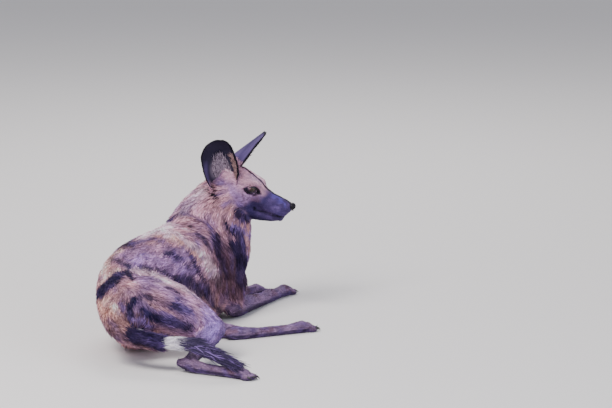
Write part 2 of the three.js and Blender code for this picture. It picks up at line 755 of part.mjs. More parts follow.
// Every node in the order in which it is cut: each one gives way to those before it in its list.
const legPieces = (leg) => {
  const made = {};
  for (const [name, stations] of Object.entries(leg)) {
    made[name] = (grow) =>
      name === "foot" || name === "paw" ? paw(stations, grow) : [loft(stations, 14, 1, grow)];
  }
  return made;
};
const hindRight = legPieces(HIND_RIGHT);
const hindLeft = legPieces(HIND_LEFT);
const foreRight = legPieces(FORE_RIGHT);
const foreLeft = legPieces(FORE_LEFT);
const RECIPES = {
  hind_thigh_right: [hindRight.thigh, [], "tan"],
  hind_shank_right: [hindRight.shank, ["hind_thigh_right"], "brown"],
  hind_foot_right: [hindRight.foot, ["hind_shank_right"], "brown"],
  hind_thigh_left: [hindLeft.thigh, ["hind_thigh_right", "hind_shank_right"], "dark"],
  hind_shank_left: [hindLeft.shank, ["hind_thigh_left", "hind_thigh_right"], "brown"],
  hind_foot_left: [
    hindLeft.foot,
    ["hind_shank_left", "hind_thigh_left", "hind_thigh_right", "hind_shank_right"],
    "brown",
  ],
  fore_shoulder_right: [foreRight.shoulder, [], "dark"],
  fore_arm_right: [foreRight.forearm, ["fore_shoulder_right"], "dark"],
  fore_paw_right: [foreRight.paw, ["fore_arm_right"], "brown"],
  fore_shoulder_left: [foreLeft.shoulder, [], "dark"],
  fore_arm_left: [foreLeft.forearm, ["fore_shoulder_left"], "dark"],
  fore_paw_left: [foreLeft.paw, ["fore_arm_left"], "brown"],
  torso: [
    (grow) => [loft(TRUNK, 24, 2, grow, CAP_RINGS, BELLY)],
    [
      "hind_thigh_right",
      "hind_shank_right",
      "hind_thigh_left",
      "hind_shank_left",
      "fore_shoulder_right",
      "fore_arm_right",
      "fore_shoulder_left",
      "fore_arm_left",
    ],
    "tan",
  ],
  neck: [
    (grow) => [loft(NECK, 22, 3, grow, CAP_RINGS, BREAST)],
    ["torso", "fore_shoulder_right", "fore_shoulder_left", "fore_arm_right"],
    "tan",
  ],
  tail: [
    (grow) => [loft(TAIL, 14, 2, grow)],
    ["torso", "hind_thigh_right", "hind_shank_right"],
    "tan",
  ],
};

const solids = new Map();
const grown = new Map();
const onFloor = (solid) => solid.trimByPlane([0, 0, 1], 0);
for (const [name, [pieces, before]] of Object.entries(RECIPES)) {
  let solid = join(pieces(0));
  for (const other of before) {
    solid = solid.subtract(grown.get(other));
  }
  solids.set(name, largest(onFloor(solid)));
  grown.set(name, join(pieces(GAP)));
}

for (const [side, sign] of Object.entries(SIDES)) {
  solids.set("eye_" + side, eyeball(sign, 0));
}
solids.set("nose", noseSolid(0));
const headWhole = headSolid();
const headGrown = headBlock(GAP);
let headCut = headWhole.subtract(noseSolid(GAP)).subtract(grown.get("neck"));
for (const sign of Object.values(SIDES)) {
  headCut = headCut.subtract(eyeball(sign, GAP));
}
solids.set("head", largest(headCut));
for (const side of Object.keys(SIDES)) {
  const cup = earSolid(EARS[side]);
  solids.set("ear_" + side, largest(cup.subtract(headGrown).subtract(grown.get("neck"))));
}
const brushWhole = brushSolid();
const brushCut = ["tail", "hind_shank_right", "hind_foot_right", "hind_thigh_right"].reduce(
  (solid, other) => solid.subtract(grown.get(other)),
  brushWhole,
);
solids.set("tail_brush", largest(onFloor(brushCut)));

const NODE_COLOURS = {
  head: "muzzle",
  nose: "nose",
  eye_right: "eye",
  eye_left: "eye",
  ear_right: "ear",
  ear_left: "ear",
  tail_brush: "dark",
};

// The point of the floor under the middle of the whole model.
function floorMiddle() {
  const box = new THREE.Box3();
  for (const solid of solids.values()) {
    const { min, max } = solid.boundingBox();
    box.expandByPoint(new THREE.Vector3(...min));
    box.expandByPoint(new THREE.Vector3(...max));
  }
  return box.getCenter(new THREE.Vector3()).setZ(0);
}
const MIDDLE = floorMiddle();

function meshOf(name, solid) {
  const m = solid.getMesh();
  const places = new Float32Array(m.numVert * 3);
  for (let i = 0; i < m.numVert; i++) {
    places.set(m.vertProperties.subarray(i * m.numProp, i * m.numProp + 3), i * 3);
  }
  const g = new THREE.BufferGeometry();
  g.setAttribute("position", new THREE.BufferAttribute(places, 3));
  g.setIndex(new THREE.BufferAttribute(m.triVerts, 1));
  g.computeVertexNormals();
  const colour = COLOURS[NODE_COLOURS[name] ?? RECIPES[name][2]];
  const smooth = name === "nose" || name.startsWith("eye");
  const material = new THREE.MeshStandardMaterial({
    color: new THREE.Color(...colour),
    roughness: smooth ? 0.3 : 0.85,
    metalness: 0,
  });
  const mesh = new THREE.Mesh(g, material);
  mesh.name = name;
  mesh.position.copy(MIDDLE).negate();
  return mesh;
}

const dog = new THREE.Group();
for (const [name, solid] of solids) {
  dog.add(meshOf(name, solid));
}

export default dog;
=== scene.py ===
"""African wild dog at rest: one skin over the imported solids, with markings, fur, ears, eyes and claws."""
import math

import bmesh
import bpy
import numpy as np
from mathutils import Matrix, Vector
from mathutils.bvhtree import BVHTree


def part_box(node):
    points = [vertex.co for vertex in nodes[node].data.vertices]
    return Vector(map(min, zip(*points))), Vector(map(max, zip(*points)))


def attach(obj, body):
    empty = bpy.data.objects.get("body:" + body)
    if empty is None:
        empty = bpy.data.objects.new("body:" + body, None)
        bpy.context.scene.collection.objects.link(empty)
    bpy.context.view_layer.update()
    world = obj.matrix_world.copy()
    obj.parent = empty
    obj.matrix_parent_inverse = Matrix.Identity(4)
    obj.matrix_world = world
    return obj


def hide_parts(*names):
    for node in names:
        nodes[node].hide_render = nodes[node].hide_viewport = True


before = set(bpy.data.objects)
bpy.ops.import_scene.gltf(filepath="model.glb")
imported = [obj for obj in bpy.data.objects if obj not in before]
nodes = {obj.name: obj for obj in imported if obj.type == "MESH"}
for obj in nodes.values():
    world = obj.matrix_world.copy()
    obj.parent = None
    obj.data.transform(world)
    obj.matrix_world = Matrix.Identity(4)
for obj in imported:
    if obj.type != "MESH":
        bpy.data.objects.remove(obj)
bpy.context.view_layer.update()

# Sizes in metres, as in the solids. Lists of stations and places are in millimetres.
MM = 1 / 1000
SKIN_VOXEL = 0.0056
SKIN_DEPTH = 0.003
SOLE_HEIGHT = 0.006
SKIN_CLEARANCE = 0.0003
TUFT_CLEARANCE = 0.0006
HEAD_ORIGIN = np.array([0.165, 0.338, 0.352])
HEAD_YAW = math.radians(-14)
HEAD_PITCH = math.radians(22)
EYE_IN_SOLIDS = np.array([0.055, 0.040, 0.024])
EYE = np.array([0.048, 0.041, 0.027])
EYE_RADIUS = 0.011
NOSE = np.array([0.1655, 0.0, 0.0185])
SIDES = {"right": 1.0, "left": -1.0}
TINY = 1e-12


# Helpers for numbers, places and lines.
def ramp(value, start, end):
    """Smooth rise from 0 at the start to 1 at the end."""
    t = np.clip((value - start) / (end - start), 0, 1)
    return t * t * (3 - 2 * t)


def fade(value, start, end):
    """Smooth fall from 1 at the start to 0 at the end."""
    return 1 - ramp(value, start, end)


def bell(value, middle, width):
    """1 at the middle, and next to nothing two widths away."""
    return np.exp(-(((value - middle) / width) ** 2))


def unit(rows):
    """The rows, or one row, scaled to length 1."""
    return rows / np.maximum(np.linalg.norm(rows, axis=-1, keepdims=True), TINY)


def along_skin(directions, normals):
    return unit(directions - np.sum(directions * normals, axis=-1, keepdims=True) * normals)


def turned(runs, normals, angles):
    return runs * np.cos(angles)[:, None] + np.cross(normals, runs) * np.sin(angles)[:, None]


def stretch_distance(points, a, b):
    """Distance from the points to the straight stretch from a to b."""
    run = b - a
    t = np.clip((points - a) @ run / (run @ run), 0, 1)
    return np.linalg.norm(points - (a + t[:, None] * run), axis=1)


def line_distance(points, line):
    return np.min([stretch_distance(points, a, b) for a, b in zip(line[:-1], line[1:])], axis=0)


# The head's frame, and the stations' origin in the row frame, read from where the right eye lies.
FORWARD = np.array([
    math.cos(HEAD_YAW) * math.cos(HEAD_PITCH),
    math.sin(HEAD_YAW) * math.cos(HEAD_PITCH),
    -math.sin(HEAD_PITCH),
])
UP = np.array([
    math.cos(HEAD_YAW) * math.sin(HEAD_PITCH),
    math.sin(HEAD_YAW) * math.sin(HEAD_PITCH),
    math.cos(HEAD_PITCH),
])
RIGHT = np.cross(FORWARD, UP)
HEAD_AXES = np.array([FORWARD, RIGHT, UP])
SHIFT = np.mean(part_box("eye_right"), axis=0) - (HEAD_ORIGIN + EYE_IN_SOLIDS @ HEAD_AXES)
HEAD_AT = HEAD_ORIGIN + SHIFT


def to_head(points):
    """Places in the head's frame: forward, right and up."""
    return (points - HEAD_AT) @ HEAD_AXES.T


def from_head(places):
    return HEAD_AT + places @ HEAD_AXES


# Head stations: forward, up, half height, half width.
SKULL = np.array([
    [-52, 8, 40, 40],
    [-30, 12, 50, 54],
    [0, 12, 52, 61],
    [30, 12, 47, 61],
    [58, 9, 41, 53],
    [82, 5, 33, 42],
    [106, 2, 29, 34],
    [130, 2, 28, 30],
    [145, 5, 25, 28],
    [155, 9, 19, 23],
]) * MM
JAW = np.array([
    [6, -30, 30, 46],
    [38, -38, 30, 44],
    [70, -41, 26, 35],
    [100, -39, 20, 27],
    [130, -33, 15, 21],
    [148, -25, 13, 18],
]) * MM
CAP_DEPTH = 0.8
JAW_BLEND = 0.009
# Line of the mouth, forward and up, its groove, and where the groove fades out.
MOUTH = np.array([[60, -24], [76, -27], [96, -24], [120, -21], [142, -19], [158, -17]]) * MM
MOUTH_GROOVE = 0.0026
MOUTH_HALF_WIDTH = 0.0017
MOUTH_END = (0.136, 0.153)
# Egg-shaped swellings, and the hollow of the eye: middle, half sizes and width of the blend.
HEAD_SWELLINGS = np.array([
    [14, 42, -12, 44, 22, 36, 16],
    [-20, 44, 26, 24, 15, 18, 12],
    [146, 7, -4, 16, 16, 19, 10],
    [44, 31, 40, 24, 15, 10, 9],
    [58, 42, 5, 34, 14, 13, 12],
    [122, 17, -11, 38, 14, 15, 10],
    [104, 0, 16, 62, 17, 14, 10],
]) * MM
EYE_HOLLOW = np.array([56, 48, 26, 19, 11, 11, 8]) * MM
# Folds over and under the eye: middle and width forward, middle and width up, and rise.
FOLDS = [
    (0.045, 0.016, 0.044, 0.004, 0.0016),
    (0.049, 0.014, 0.012, 0.0025, -0.0012),
]
FACE_SIDE = 0.02


def chain_field(stations, forward, right, up):
    """Distance to a chain of ovals with rounded ends."""
    f = np.clip(forward, stations[0, 0], stations[-1, 0])
    mid, high, wide = (np.interp(f, stations[:, 0], stations[:, k]) for k in (1, 2, 3))
    least = np.minimum(high, wide)
    along = (forward - f) / (CAP_DEPTH * least)
    return (np.sqrt(((up - mid) / high) ** 2 + (right / wide) ** 2 + along**2) - 1) * least


def egg_field(egg, places):
    away = (places - egg[:3]) / egg[3:6]
    near = np.linalg.norm(away, axis=1)
    slope = np.linalg.norm(away / egg[3:6], axis=1)
    return near * (near - 1) / np.maximum(slope, 1e-6)


def soft_min(a, b, blend):
    h = np.maximum(blend - np.abs(a - b), 0) / blend
    return np.minimum(a, b) - h * h * blend / 4


def mouth_distance(places):
    """Distance to the line of the mouth, seen from the side."""
    return line_distance(places[:, [0, 2]], MOUTH)


def head_form(places):
    """Distance to the form of the head, with its mouth line and folds."""
    mirrored = places * [1, 0, 1] + np.abs(places) * [0, 1, 0]
    forward, right, up = mirrored.T
    d = soft_min(chain_field(SKULL, forward, right, up), chain_field(JAW, forward, right, up), JAW_BLEND)
    for egg in HEAD_SWELLINGS:
        d = soft_min(d, egg_field(egg, mirrored), egg[6])
    d = -soft_min(-d, egg_field(EYE_HOLLOW, mirrored), EYE_HOLLOW[6])
    for f, length, u, height, rise in FOLDS:
        d = d - rise * bell(forward, f, length) * bell(up, u, height) * (right > FACE_SIDE)
    return d + MOUTH_GROOVE * bell(mouth_distance(places), 0, MOUTH_HALF_WIDTH) * fade(forward, *MOUTH_END)


# The picture: where the camera stands and what it covers.
VIEW_DISTANCE = 14.0
VIEW_ELEVATION = math.radians(11)
PIXELS_PER_METRE = 365.0
ORIGIN_PIXEL = (175.0, 337.0)
PICTURE = (612.0, 408.0)
SENSOR = 36.0
LOOK = np.array([0.0, math.cos(VIEW_ELEVATION), -math.sin(VIEW_ELEVATION)])
ACROSS = np.array([1.0, 0.0, 0.0])
ABOVE = np.cross(ACROSS, LOOK)


def sight(place):
    """Way from the camera through a place of the picture, as long as the view distance."""
    right = (place[0] - PICTURE[0] / 2) / PIXELS_PER_METRE
    rise = (PICTURE[1] / 2 - place[1]) / PIXELS_PER_METRE
    return LOOK * VIEW_DISTANCE + ACROSS * right + ABOVE * rise


CAMERA_PLACE = SHIFT - sight(ORIGIN_PIXEL)


def in_picture(points):
    """Places of the picture where the points are seen."""
    away = points - CAMERA_PLACE
    scale = VIEW_DISTANCE / (away @ LOOK) * PIXELS_PER_METRE
    return np.stack([PICTURE[0] / 2 + away @ ACROSS * scale, PICTURE[1] / 2 - away @ ABOVE * scale], axis=1)


# Parts of the body: softness of the skin, then the hair's spacing, length and width, and lift in degrees.
PARTS = {
    "torso": (1.0, 4.4, 19, 2.6, 16),
    "neck": (1.0, 4.2, 20, 2.6, 18),
    "head": (0.3, 2.7, 8, 1.5, 14),
    "tail": (0.5, 3.6, 24, 2.4, 20),
    "thigh": (0.9, 4.2, 17, 2.5, 14),
    "shank": (0.5, 3.6, 11, 2.0, 14),
    "foot": (0.12, 3.2, 8, 1.7, 12),
    "shoulder": (0.9, 4.2, 17, 2.5, 16),
    "arm": (0.45, 3.6, 12, 2.0, 14),
    "paw": (0.12, 3.2, 8, 1.7, 12),
}
LEGS = {"hind": ("thigh", "shank", "foot"), "fore": ("shoulder", "arm", "paw")}
FLESH = ["torso", "neck", "head", "tail"]
FLESH += [f"{leg}_{part}_{side}" for leg, parts in LEGS.items() for side in SIDES for part in parts]
HEAD = FLESH.index("head")
PAWS = [name for name in FLESH if "foot" in name or "paw" in name]
BARE_PARTS = ("foot", "paw", "arm", "shank")
BARE_LEGS = [k for k, name in enumerate(FLESH) if any(part in name for part in BARE_PARTS)]
part_rows = np.array([next(row for part, row in PARTS.items() if part in name) for name in FLESH])


def new_object(name, data):
    made = bpy.data.objects.new(name, data)
    bpy.context.scene.collection.objects.link(made)
    return made


# Skin from the solids.
SEAM_GROWTH = 0.0006
HEAD_BACK = -0.045
FACE_FRONT = 0.03
HEAD_MARGIN = 0.004
PAW_MARGIN = 0.003
FINE_EYE = 0.03
FINE_SNOUT = (0.128, 0.2)
FINE_MOUTH = 0.008


def joined_flesh():
    """One mesh of all the flesh nodes, each grown a little so that they overlap, with the node of each face."""
    joined = bmesh.new()
    owners = []
    for index, name in enumerate([*FLESH, "nose"]):
        joined.from_mesh(nodes[name].data)
        owners += [index] * (len(joined.faces) - len(owners))
    joined.normal_update()
    for vertex in joined.verts:
        vertex.co += vertex.normal * SEAM_GROWTH
    mesh = bpy.data.meshes.new("flesh")
    joined.to_mesh(mesh)
    joined.free()
    return mesh, np.array(owners)


def remeshed(mesh, voxel):
    holder = new_object("remesh_source", mesh)
    modifier = holder.modifiers.new("voxels", "REMESH")
    modifier.mode = "VOXEL"
    modifier.voxel_size = voxel
    evaluated = holder.evaluated_get(bpy.context.evaluated_depsgraph_get())
    made = bpy.data.meshes.new_from_object(evaluated)
    bpy.data.objects.remove(holder)
    return made


flesh_mesh, face_owner = joined_flesh()
flesh_tree = BVHTree.FromPolygons(
    [vertex.co.copy() for vertex in flesh_mesh.vertices],
    [tuple(polygon.vertices) for polygon in flesh_mesh.polygons],
)


def largest_island(mesh):
    """bmesh of the largest connected surface only."""
    work = bmesh.new()
    work.from_mesh(mesh)
    island = [-1] * len(work.verts)
    for seed in work.verts:
        if island[seed.index] >= 0:
            continue
        island[seed.index] = seed.index
        stack = [seed]
        while stack:
            vertex = stack.pop()
            for edge in vertex.link_edges:
                other = edge.other_vert(vertex)
                if island[other.index] < 0:
                    island[other.index] = seed.index
                    stack.append(other)
    largest = np.bincount(island).argmax()
    gone = [vertex for vertex in work.verts if island[vertex.index] != largest]
    bmesh.ops.delete(work, geom=gone, context="VERTS")
    return work


def near_flesh(points):
    """Nearest place on the solids and the node it belongs to, for each point."""
    found = [flesh_tree.find_nearest(Vector(point)) for point in points]
    owners = face_owner[[face for _, _, face, _ in found]]
    return np.array([place[:] for place, _, _, _ in found]), np.where(owners == len(FLESH), HEAD, owners)


def finer(work, chosen):
    """Splits the chosen faces into four."""
    work.faces.ensure_lookup_table()
    edges = {edge for index in np.flatnonzero(chosen) for edge in work.faces[index].edges}
    bmesh.ops.subdivide_edges(work, edges=list(edges), cuts=1, use_grid_fill=True)


def face_middles(work):
    return np.array([face.calc_center_median()[:] for face in work.faces])


def in_boxes(points, names, margin):
    inside = np.zeros(len(points), bool)
    for name in names:
        low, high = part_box(name)
        inside |= np.all((points > np.array(low) - margin) & (points < np.array(high) + margin), axis=1)
    return inside


def build_skin():
    work = largest_island(remeshed(flesh_mesh, SKIN_VOXEL))
    middles = face_middles(work)
    on_head = in_boxes(middles, ["head"], HEAD_MARGIN) & (to_head(middles)[:, 0] > HEAD_BACK)
    finer(work, on_head | in_boxes(middles, PAWS, PAW_MARGIN))
    middles = face_middles(work)
    places = to_head(middles)
    near_eye = np.linalg.norm((places - EYE) * [1, 0, 1], axis=1) < FINE_EYE
    snout = (places[:, 0] > FINE_SNOUT[0]) & (places[:, 0] < FINE_SNOUT[1])
    on_face = in_boxes(middles, ["head"], HEAD_MARGIN) & (places[:, 0] > FACE_FRONT)
    finer(work, on_face & (near_eye | snout | (mouth_distance(places) < FINE_MOUTH)))
    bmesh.ops.triangulate(work, faces=work.faces[:])
    points = np.array([vertex.co[:] for vertex in work.verts])
    faces = np.array([[vertex.index for vertex in face.verts] for face in work.faces])
    work.free()
    return points, faces


class Net:
    """The edges between the points of a mesh."""

    def __init__(self, count, faces):
        pairs = np.concatenate([faces[:, [0, 1]], faces[:, [1, 2]], faces[:, [2, 0]]])
        self.ends = np.unique(np.sort(pairs, axis=1), axis=0).T
        self.count = count
        self.even = np.ones(self.ends.shape[1])

    def total(self, values, shares):
        """For each point, the sum of its neighbours' values times the shares of the edges to them."""
        a, b = self.ends
        return np.bincount(a, shares * values[b], self.count) + np.bincount(b, shares * values[a], self.count)

    def mean(self, values, rounds=1):
        """Mean over the neighbours, taken the given number of times."""
        valence = np.maximum(self.total(np.ones(self.count), self.even), 1)
        for _ in range(rounds):
            columns = values.reshape(self.count, -1).T
            means = [self.total(column, self.even) / valence for column in columns]
            values = np.stack(means, axis=1).reshape(values.shape)
        return values


def vertex_normals(points, faces):
    a, b, c = (points[faces[:, k]] for k in range(3))
    flat = np.cross(b - a, c - a)
    normals = np.zeros_like(points)
    for k in range(3):
        for axis in range(3):
            normals[:, axis] += np.bincount(faces[:, k], flat[:, axis], len(points))
    return unit(normals)


SETTLE_ROUNDS = 6
SETTLE_LIMIT = 0.006
LEAST_STEEPNESS = 0.25
SLOPE_STEP = 0.0004


def settle_head(points, weight):
    """Moves points onto the form of the head along its slope."""
    for _ in range(SETTLE_ROUNDS):
        places = to_head(points)
        ahead_and_behind = [
            (head_form(places + SLOPE_STEP * axis), head_form(places - SLOPE_STEP * axis))
            for axis in np.eye(3)
        ]
        slope = np.stack([ahead - behind for ahead, behind in ahead_and_behind], axis=1) / (2 * SLOPE_STEP)
        steep = np.maximum(np.sum(slope**2, axis=1), LEAST_STEEPNESS)
        move = np.clip(-(head_form(places) / steep)[:, None] * slope, -SETTLE_LIMIT, SETTLE_LIMIT)
        points = points + move @ HEAD_AXES * weight[:, None]
    return points


SMOOTH_ROUNDS = 22
SMOOTH_PULLS = (0.5, -0.52)
SOFT_BLEND = 4
HEAD_BLEND = 3
HEAD_BLEND_LENGTH = 0.03
skin_points, skin_faces = build_skin()
net = Net(len(skin_points), skin_faces)
skin_points, owner = near_flesh(skin_points)
head_weight = ramp(to_head(skin_points)[:, 0], HEAD_BACK, HEAD_BACK + HEAD_BLEND_LENGTH) * (owner == HEAD)
softness = net.mean(part_rows[owner, 0], SOFT_BLEND)[:, None]
for _ in range(SMOOTH_ROUNDS):
    for pull in SMOOTH_PULLS:
        skin_points = skin_points + pull * softness * (net.mean(skin_points) - skin_points)
skin_points = settle_head(skin_points, net.mean(head_weight, HEAD_BLEND))

# Lie of the hair: places along each part, in the order in which the hair runs.
HAIR_LINES = [
    [
        (114, 330, 160), (52, 248, 158), (-42, 115, 143),
        (-118, -45, 144), (-119, -200, 122), (-104, -292, 100),
    ],
    [(150, 338, 350), (113, 322, 296), (84, 296, 246), (40, 236, 186), (-10, 150, 150)],
    [(150, 320, 256), (138, 312, 158), (118, 296, 100)],
    [(330, 296, 300), (230, 322, 325), (150, 338, 352), (113, 345, 350)],
    [(-100, -200, 160), (-14, -230, 134), (82, -256, 92), (100, -262, 84)],
    [(102, -262, 82), (96, -304, 68), (78, -362, 49), (52, -436, 33)],
    [(22, -430, 26), (92, -462, 18), (152, -492, 16), (212, -522, 14)],
    [(-104, -192, 58), (-70, -104, 54), (8, 44, 38)],
    [(10, 48, 36), (60, 23, 29), (120, -4, 22), (182, -26, 18)],
    [(144, -42, 18), (230, -4, 15), (308, 36, 15), (380, 80, 14)],
    [(34, 226, 236), (96, 268, 194), (148, 304, 140), (158, 278, 92), (156, 250, 48)],
    [(148, 228, 30), (200, 344, 24), (258, 472, 18), (316, 580, 13)],
    [(10, 296, 206), (34, 340, 160), (62, 388, 116), (36, 348, 72), (22, 304, 44)],
    [(14, 286, 30), (84, 384, 23), (162, 491, 18), (240, 582, 13)],
    [(-146, -250, 142), (-158, -300, 124), (-146, -348, 104), (-110, -388, 89), (-30, -424, 79)],
]
HAIR_LINE_REACH = 0.004
HAIR_LINE_POWER = 5


def hair_direction(points):
    """Direction of the hair at each point, from the nearest lines."""
    total = np.zeros_like(points)
    for line in HAIR_LINES:
        line = np.array(line) * MM + SHIFT
        for a, b in zip(line[:-1], line[1:]):
            share = 1 / (stretch_distance(points, a, b) + HAIR_LINE_REACH) ** HAIR_LINE_POWER
            total += unit(b - a) * share[:, None]
    return unit(total)


# Soft random values in space, from a hash of the corners of a grid.
HASH_PRIMES = (73856093, 19349663, 83492791, 2654435761)
HASH_MIXER = 1274126177


def lattice(cells, seed):
    x, y, z = (cells[:, k].astype(np.int64) * HASH_PRIMES[k] for k in range(3))
    mixed = x ^ y ^ z ^ (seed * HASH_PRIMES[3])
    mixed = (mixed ^ (mixed >> 13)) * HASH_MIXER
    return ((mixed ^ (mixed >> 16)) & 0xFFFF) / 65535.0


def noise(points, size, seed):
    """Smooth noise from 0 to 1 with features about that size, in metres."""
    scaled = points / size
    low = np.floor(scaled)
    t = ramp(scaled - low, 0, 1)
    total = np.zeros(len(points))
    for corner in np.ndindex(2, 2, 2):
        share = np.prod(np.where(np.array(corner) == 1, t, 1 - t), axis=1)
        total += share * lattice(low + corner, seed)
    return total


def rough_noise(points, size, seed):
    """Noise with finer noise on it."""
    layers = ((1, 1, 0), (0.5, 2.1, 7), (0.25, 4.3, 13))
    total = sum(weight * noise(points, size / finer_by, seed + more) for weight, finer_by, more in layers)
    return total / sum(weight for weight, _, _ in layers)


def patches(points, size, seed, start, full):
    """1 in random patches about that size, which start and are full at those values of the noise."""
    return ramp(rough_noise(points, size, seed), start, full)


def warped(points, size, reach, seed):
    drift = np.stack([noise(points, size, seed + k) - 0.5 for k in range(3)], axis=1)
    return points + 2 * reach * drift


# Colours of the coat.
TAN = (0.50, 0.27, 0.30)
PINK_TAN = (0.64, 0.355, 0.47)
PALE = (0.94, 0.66, 0.78)
CREAM = (1.0, 0.66, 0.62)
YELLOW_TAN = (0.92, 0.49, 0.42)
BROWN = (0.13, 0.062, 0.095)
VIOLET_GREY = (0.17, 0.105, 0.30)
NAVY = (0.012, 0.008, 0.052)
LILAC = (0.40, 0.255, 0.70)
LEG_LILAC = (0.22, 0.145, 0.29)
MUZZLE = (0.040, 0.028, 0.125)
# Painted highlight on the bridge of the muzzle.
MUZZLE_PAINTED_HIGHLIGHT = (0.12, 0.090, 0.42)
BLACK = (0.008, 0.006, 0.016)
WHITE = (0.92, 0.87, 1.0)

# Strokes of each marking, and of painted shade on the flank and under the jaw: colour, strength, half width and
# soft edge, and places in the picture, in pixels.
MARKS = {
    # The broad violet over the flank is partly the coat's own tone and partly painted shade.
    "flank, violet tone and painted shade": (LILAC, 0.6, 30, 26, [(140, 260), (165, 263), (188, 272)]),
    "thigh, tan": (TAN, 0.8, 26, 22, [(118, 290), (140, 292), (158, 299)]),
    "thigh, violet": (VIOLET_GREY, 0.8, 22, 12, [(138, 307), (152, 312), (170, 320)]),
    "rump, violet": (LILAC, 0.4, 16, 16, [(140, 280), (160, 285), (178, 298)]),
    "neck, pink": (PINK_TAN, 0.75, 30, 24, [(205, 205), (200, 220), (215, 215)]),
    "neck top": (PALE, 0.8, 13, 13, [(203, 191), (192, 202), (181, 214)]),
    "back, pale": (PALE, 0.85, 13, 9, [(142, 237), (155, 231), (168, 226)]),
    "shoulder band": (
        PALE, 0.95, 13, 6,
        [(168, 233), (182, 241), (196, 249), (206, 260), (213, 272), (217, 281)],
    ),
    "shoulder edge": (YELLOW_TAN, 0.8, 5, 5, [(171, 237), (184, 245), (195, 254), (202, 263)]),
    "croup rim": (CREAM, 0.9, 9, 6, [(103, 274), (107, 263), (113, 255), (121, 250)]),
    "croup, pale": (CREAM, 0.85, 7, 5, [(101, 283), (109, 276), (117, 271)]),
    "thigh edge": (PALE, 0.9, 6, 5, [(128, 270), (142, 271), (157, 275), (170, 282), (185, 289), (200, 297)]),
    "thigh, pale streak": (PALE, 0.6, 4, 4, [(157, 281), (173, 286)]),
    "tail root": (YELLOW_TAN, 0.95, 20, 9, [(104, 303), (107, 313), (116, 321), (126, 327)]),
    "tail root, pale": (CREAM, 0.8, 9, 8, [(105, 300), (112, 306), (116, 313)]),
    "elbow": (BROWN, 0.6, 9, 6, [(215, 262), (222, 269)]),
    "withers spot": (NAVY, 0.95, 6, 4, [(170, 222), (176, 216)]),
    "back rim": (NAVY, 0.85, 9, 6, [(108, 253), (120, 246), (132, 242)]),
    "back top": (VIOLET_GREY, 0.8, 6, 6, [(132, 243), (150, 240), (158, 241)]),
    "croup band": (NAVY, 0.98, 14, 5, [(98, 295), (108, 285), (117, 278)]),
    "croup band, end": (NAVY, 0.95, 8, 4, [(117, 277), (127, 273), (131, 278)]),
    "croup, upper": (NAVY, 0.75, 7, 7, [(113, 260), (120, 262), (128, 267)]),
    "croup spot": (NAVY, 0.9, 5, 4, [(126, 265), (130, 268)]),
    "flank band": (NAVY, 0.8, 7, 6, [(140, 268), (156, 269), (167, 272), (178, 279)]),
    "flank spot": (NAVY, 0.85, 6, 5, [(164, 254), (172, 253), (180, 257)]),
    "flank, middle": (NAVY, 0.7, 6, 6, [(176, 258), (184, 262), (190, 268)]),
    "flank, low": (NAVY, 0.85, 18, 9, [(180, 281), (192, 285), (203, 293)]),
    "rib stripe": (NAVY, 0.9, 6, 5, [(190, 255), (197, 266), (203, 278), (207, 292)]),
    "shoulder": (NAVY, 0.98, 15, 6, [(215, 237), (217, 247), (221, 256), (225, 266), (228, 275)]),
    "breast": (BROWN, 0.85, 20, 10, [(228, 250), (232, 262), (233, 278)]),
    "chest": (NAVY, 0.96, 19, 7, [(235, 246), (241, 258), (243, 272), (243, 286)]),
    "throat": (NAVY, 0.97, 9, 4, [(225, 223), (234, 230), (242, 240), (243, 248)]),
    # Painted shade of the throat under the jaw.
    "painted shade under the jaw": (NAVY, 0.95, 13, 6, [(237, 213), (245, 219)]),
    "breast edge": (LILAC, 0.85, 6, 4, [(233, 225), (241, 230), (249, 236)]),
    "breast front": (LILAC, 0.7, 4, 4, [(247, 252), (249, 266), (251, 281)]),
    "neck line": (BROWN, 0.85, 5, 4, [(195, 222), (204, 222), (213, 229)]),
    "neck line, low": (NAVY, 0.75, 5, 4, [(190, 227), (197, 234), (205, 241), (210, 249)]),
    "upper arm": (BROWN, 0.9, 22, 9, [(218, 282), (226, 290), (238, 294)]),
    "thigh, front": (NAVY, 0.96, 13, 5, [(173, 307), (181, 310), (189, 310)]),
    "thigh, front, up": (NAVY, 0.85, 6, 5, [(179, 300), (181, 308)]),
    "thigh, back": (NAVY, 0.97, 12, 5, [(134, 300), (128, 307), (130, 315)]),
    "thigh band": (NAVY, 0.96, 13, 6, [(144, 311), (156, 317), (167, 321), (177, 325)]),
    "thigh arc": (NAVY, 0.8, 5, 4, [(133, 299), (144, 297), (153, 300)]),
    "thigh line": (TAN, 0.8, 4, 3, [(153, 304), (166, 311), (176, 318)]),
    "thigh streak": (NAVY, 0.8, 4, 3, [(167, 287), (179, 293)]),
    "haunch spot": (VIOLET_GREY, 0.9, 7, 5, [(120, 304), (122, 310)]),
    "knee": (LILAC, 0.8, 24, 12, [(206, 314), (214, 322), (210, 334)]),
    "knee, tan": (PINK_TAN, 0.5, 10, 9, [(196, 303), (200, 316)]),
    "knee spot": (NAVY, 0.8, 5, 5, [(212, 305), (219, 312)]),
    "thigh, under": (NAVY, 0.9, 10, 5, [(184, 325), (190, 328)]),
    "tail, middle": (NAVY, 0.97, 26, 8, [(134, 334), (146, 338), (164, 342)]),
    "tail, top": (LILAC, 0.7, 5, 5, [(130, 320), (141, 322), (152, 326)]),
    "spot under the ear": (BLACK, 0.97, 8, 3, [(210, 189), (212, 193), (216, 197)]),
}
# Pixels beyond which a stroke gets no fainter, and how far in depth from its line it is seen.
MARK_REACH = 9.0
MARK_DEPTH = 0.05
MARK_DEPTH_EDGE = 0.02
MARK_STEP = 3.0
SIGHT_DEPTHS = np.linspace(0.92, 1.08, 81)


def mix(colours, colour, share):
    share = np.clip(share, 0, 1)[:, None]
    return colours * (1 - share) + np.array(colour) * share


def filled(colour, count):
    return np.tile(np.array(colour), (count, 1))


def layered(colours, layers):
    """Colours with each layer, a colour and its share, laid over them in turn."""
    for colour, share in layers:
        colours = mix(colours, colour, share)
    return colours


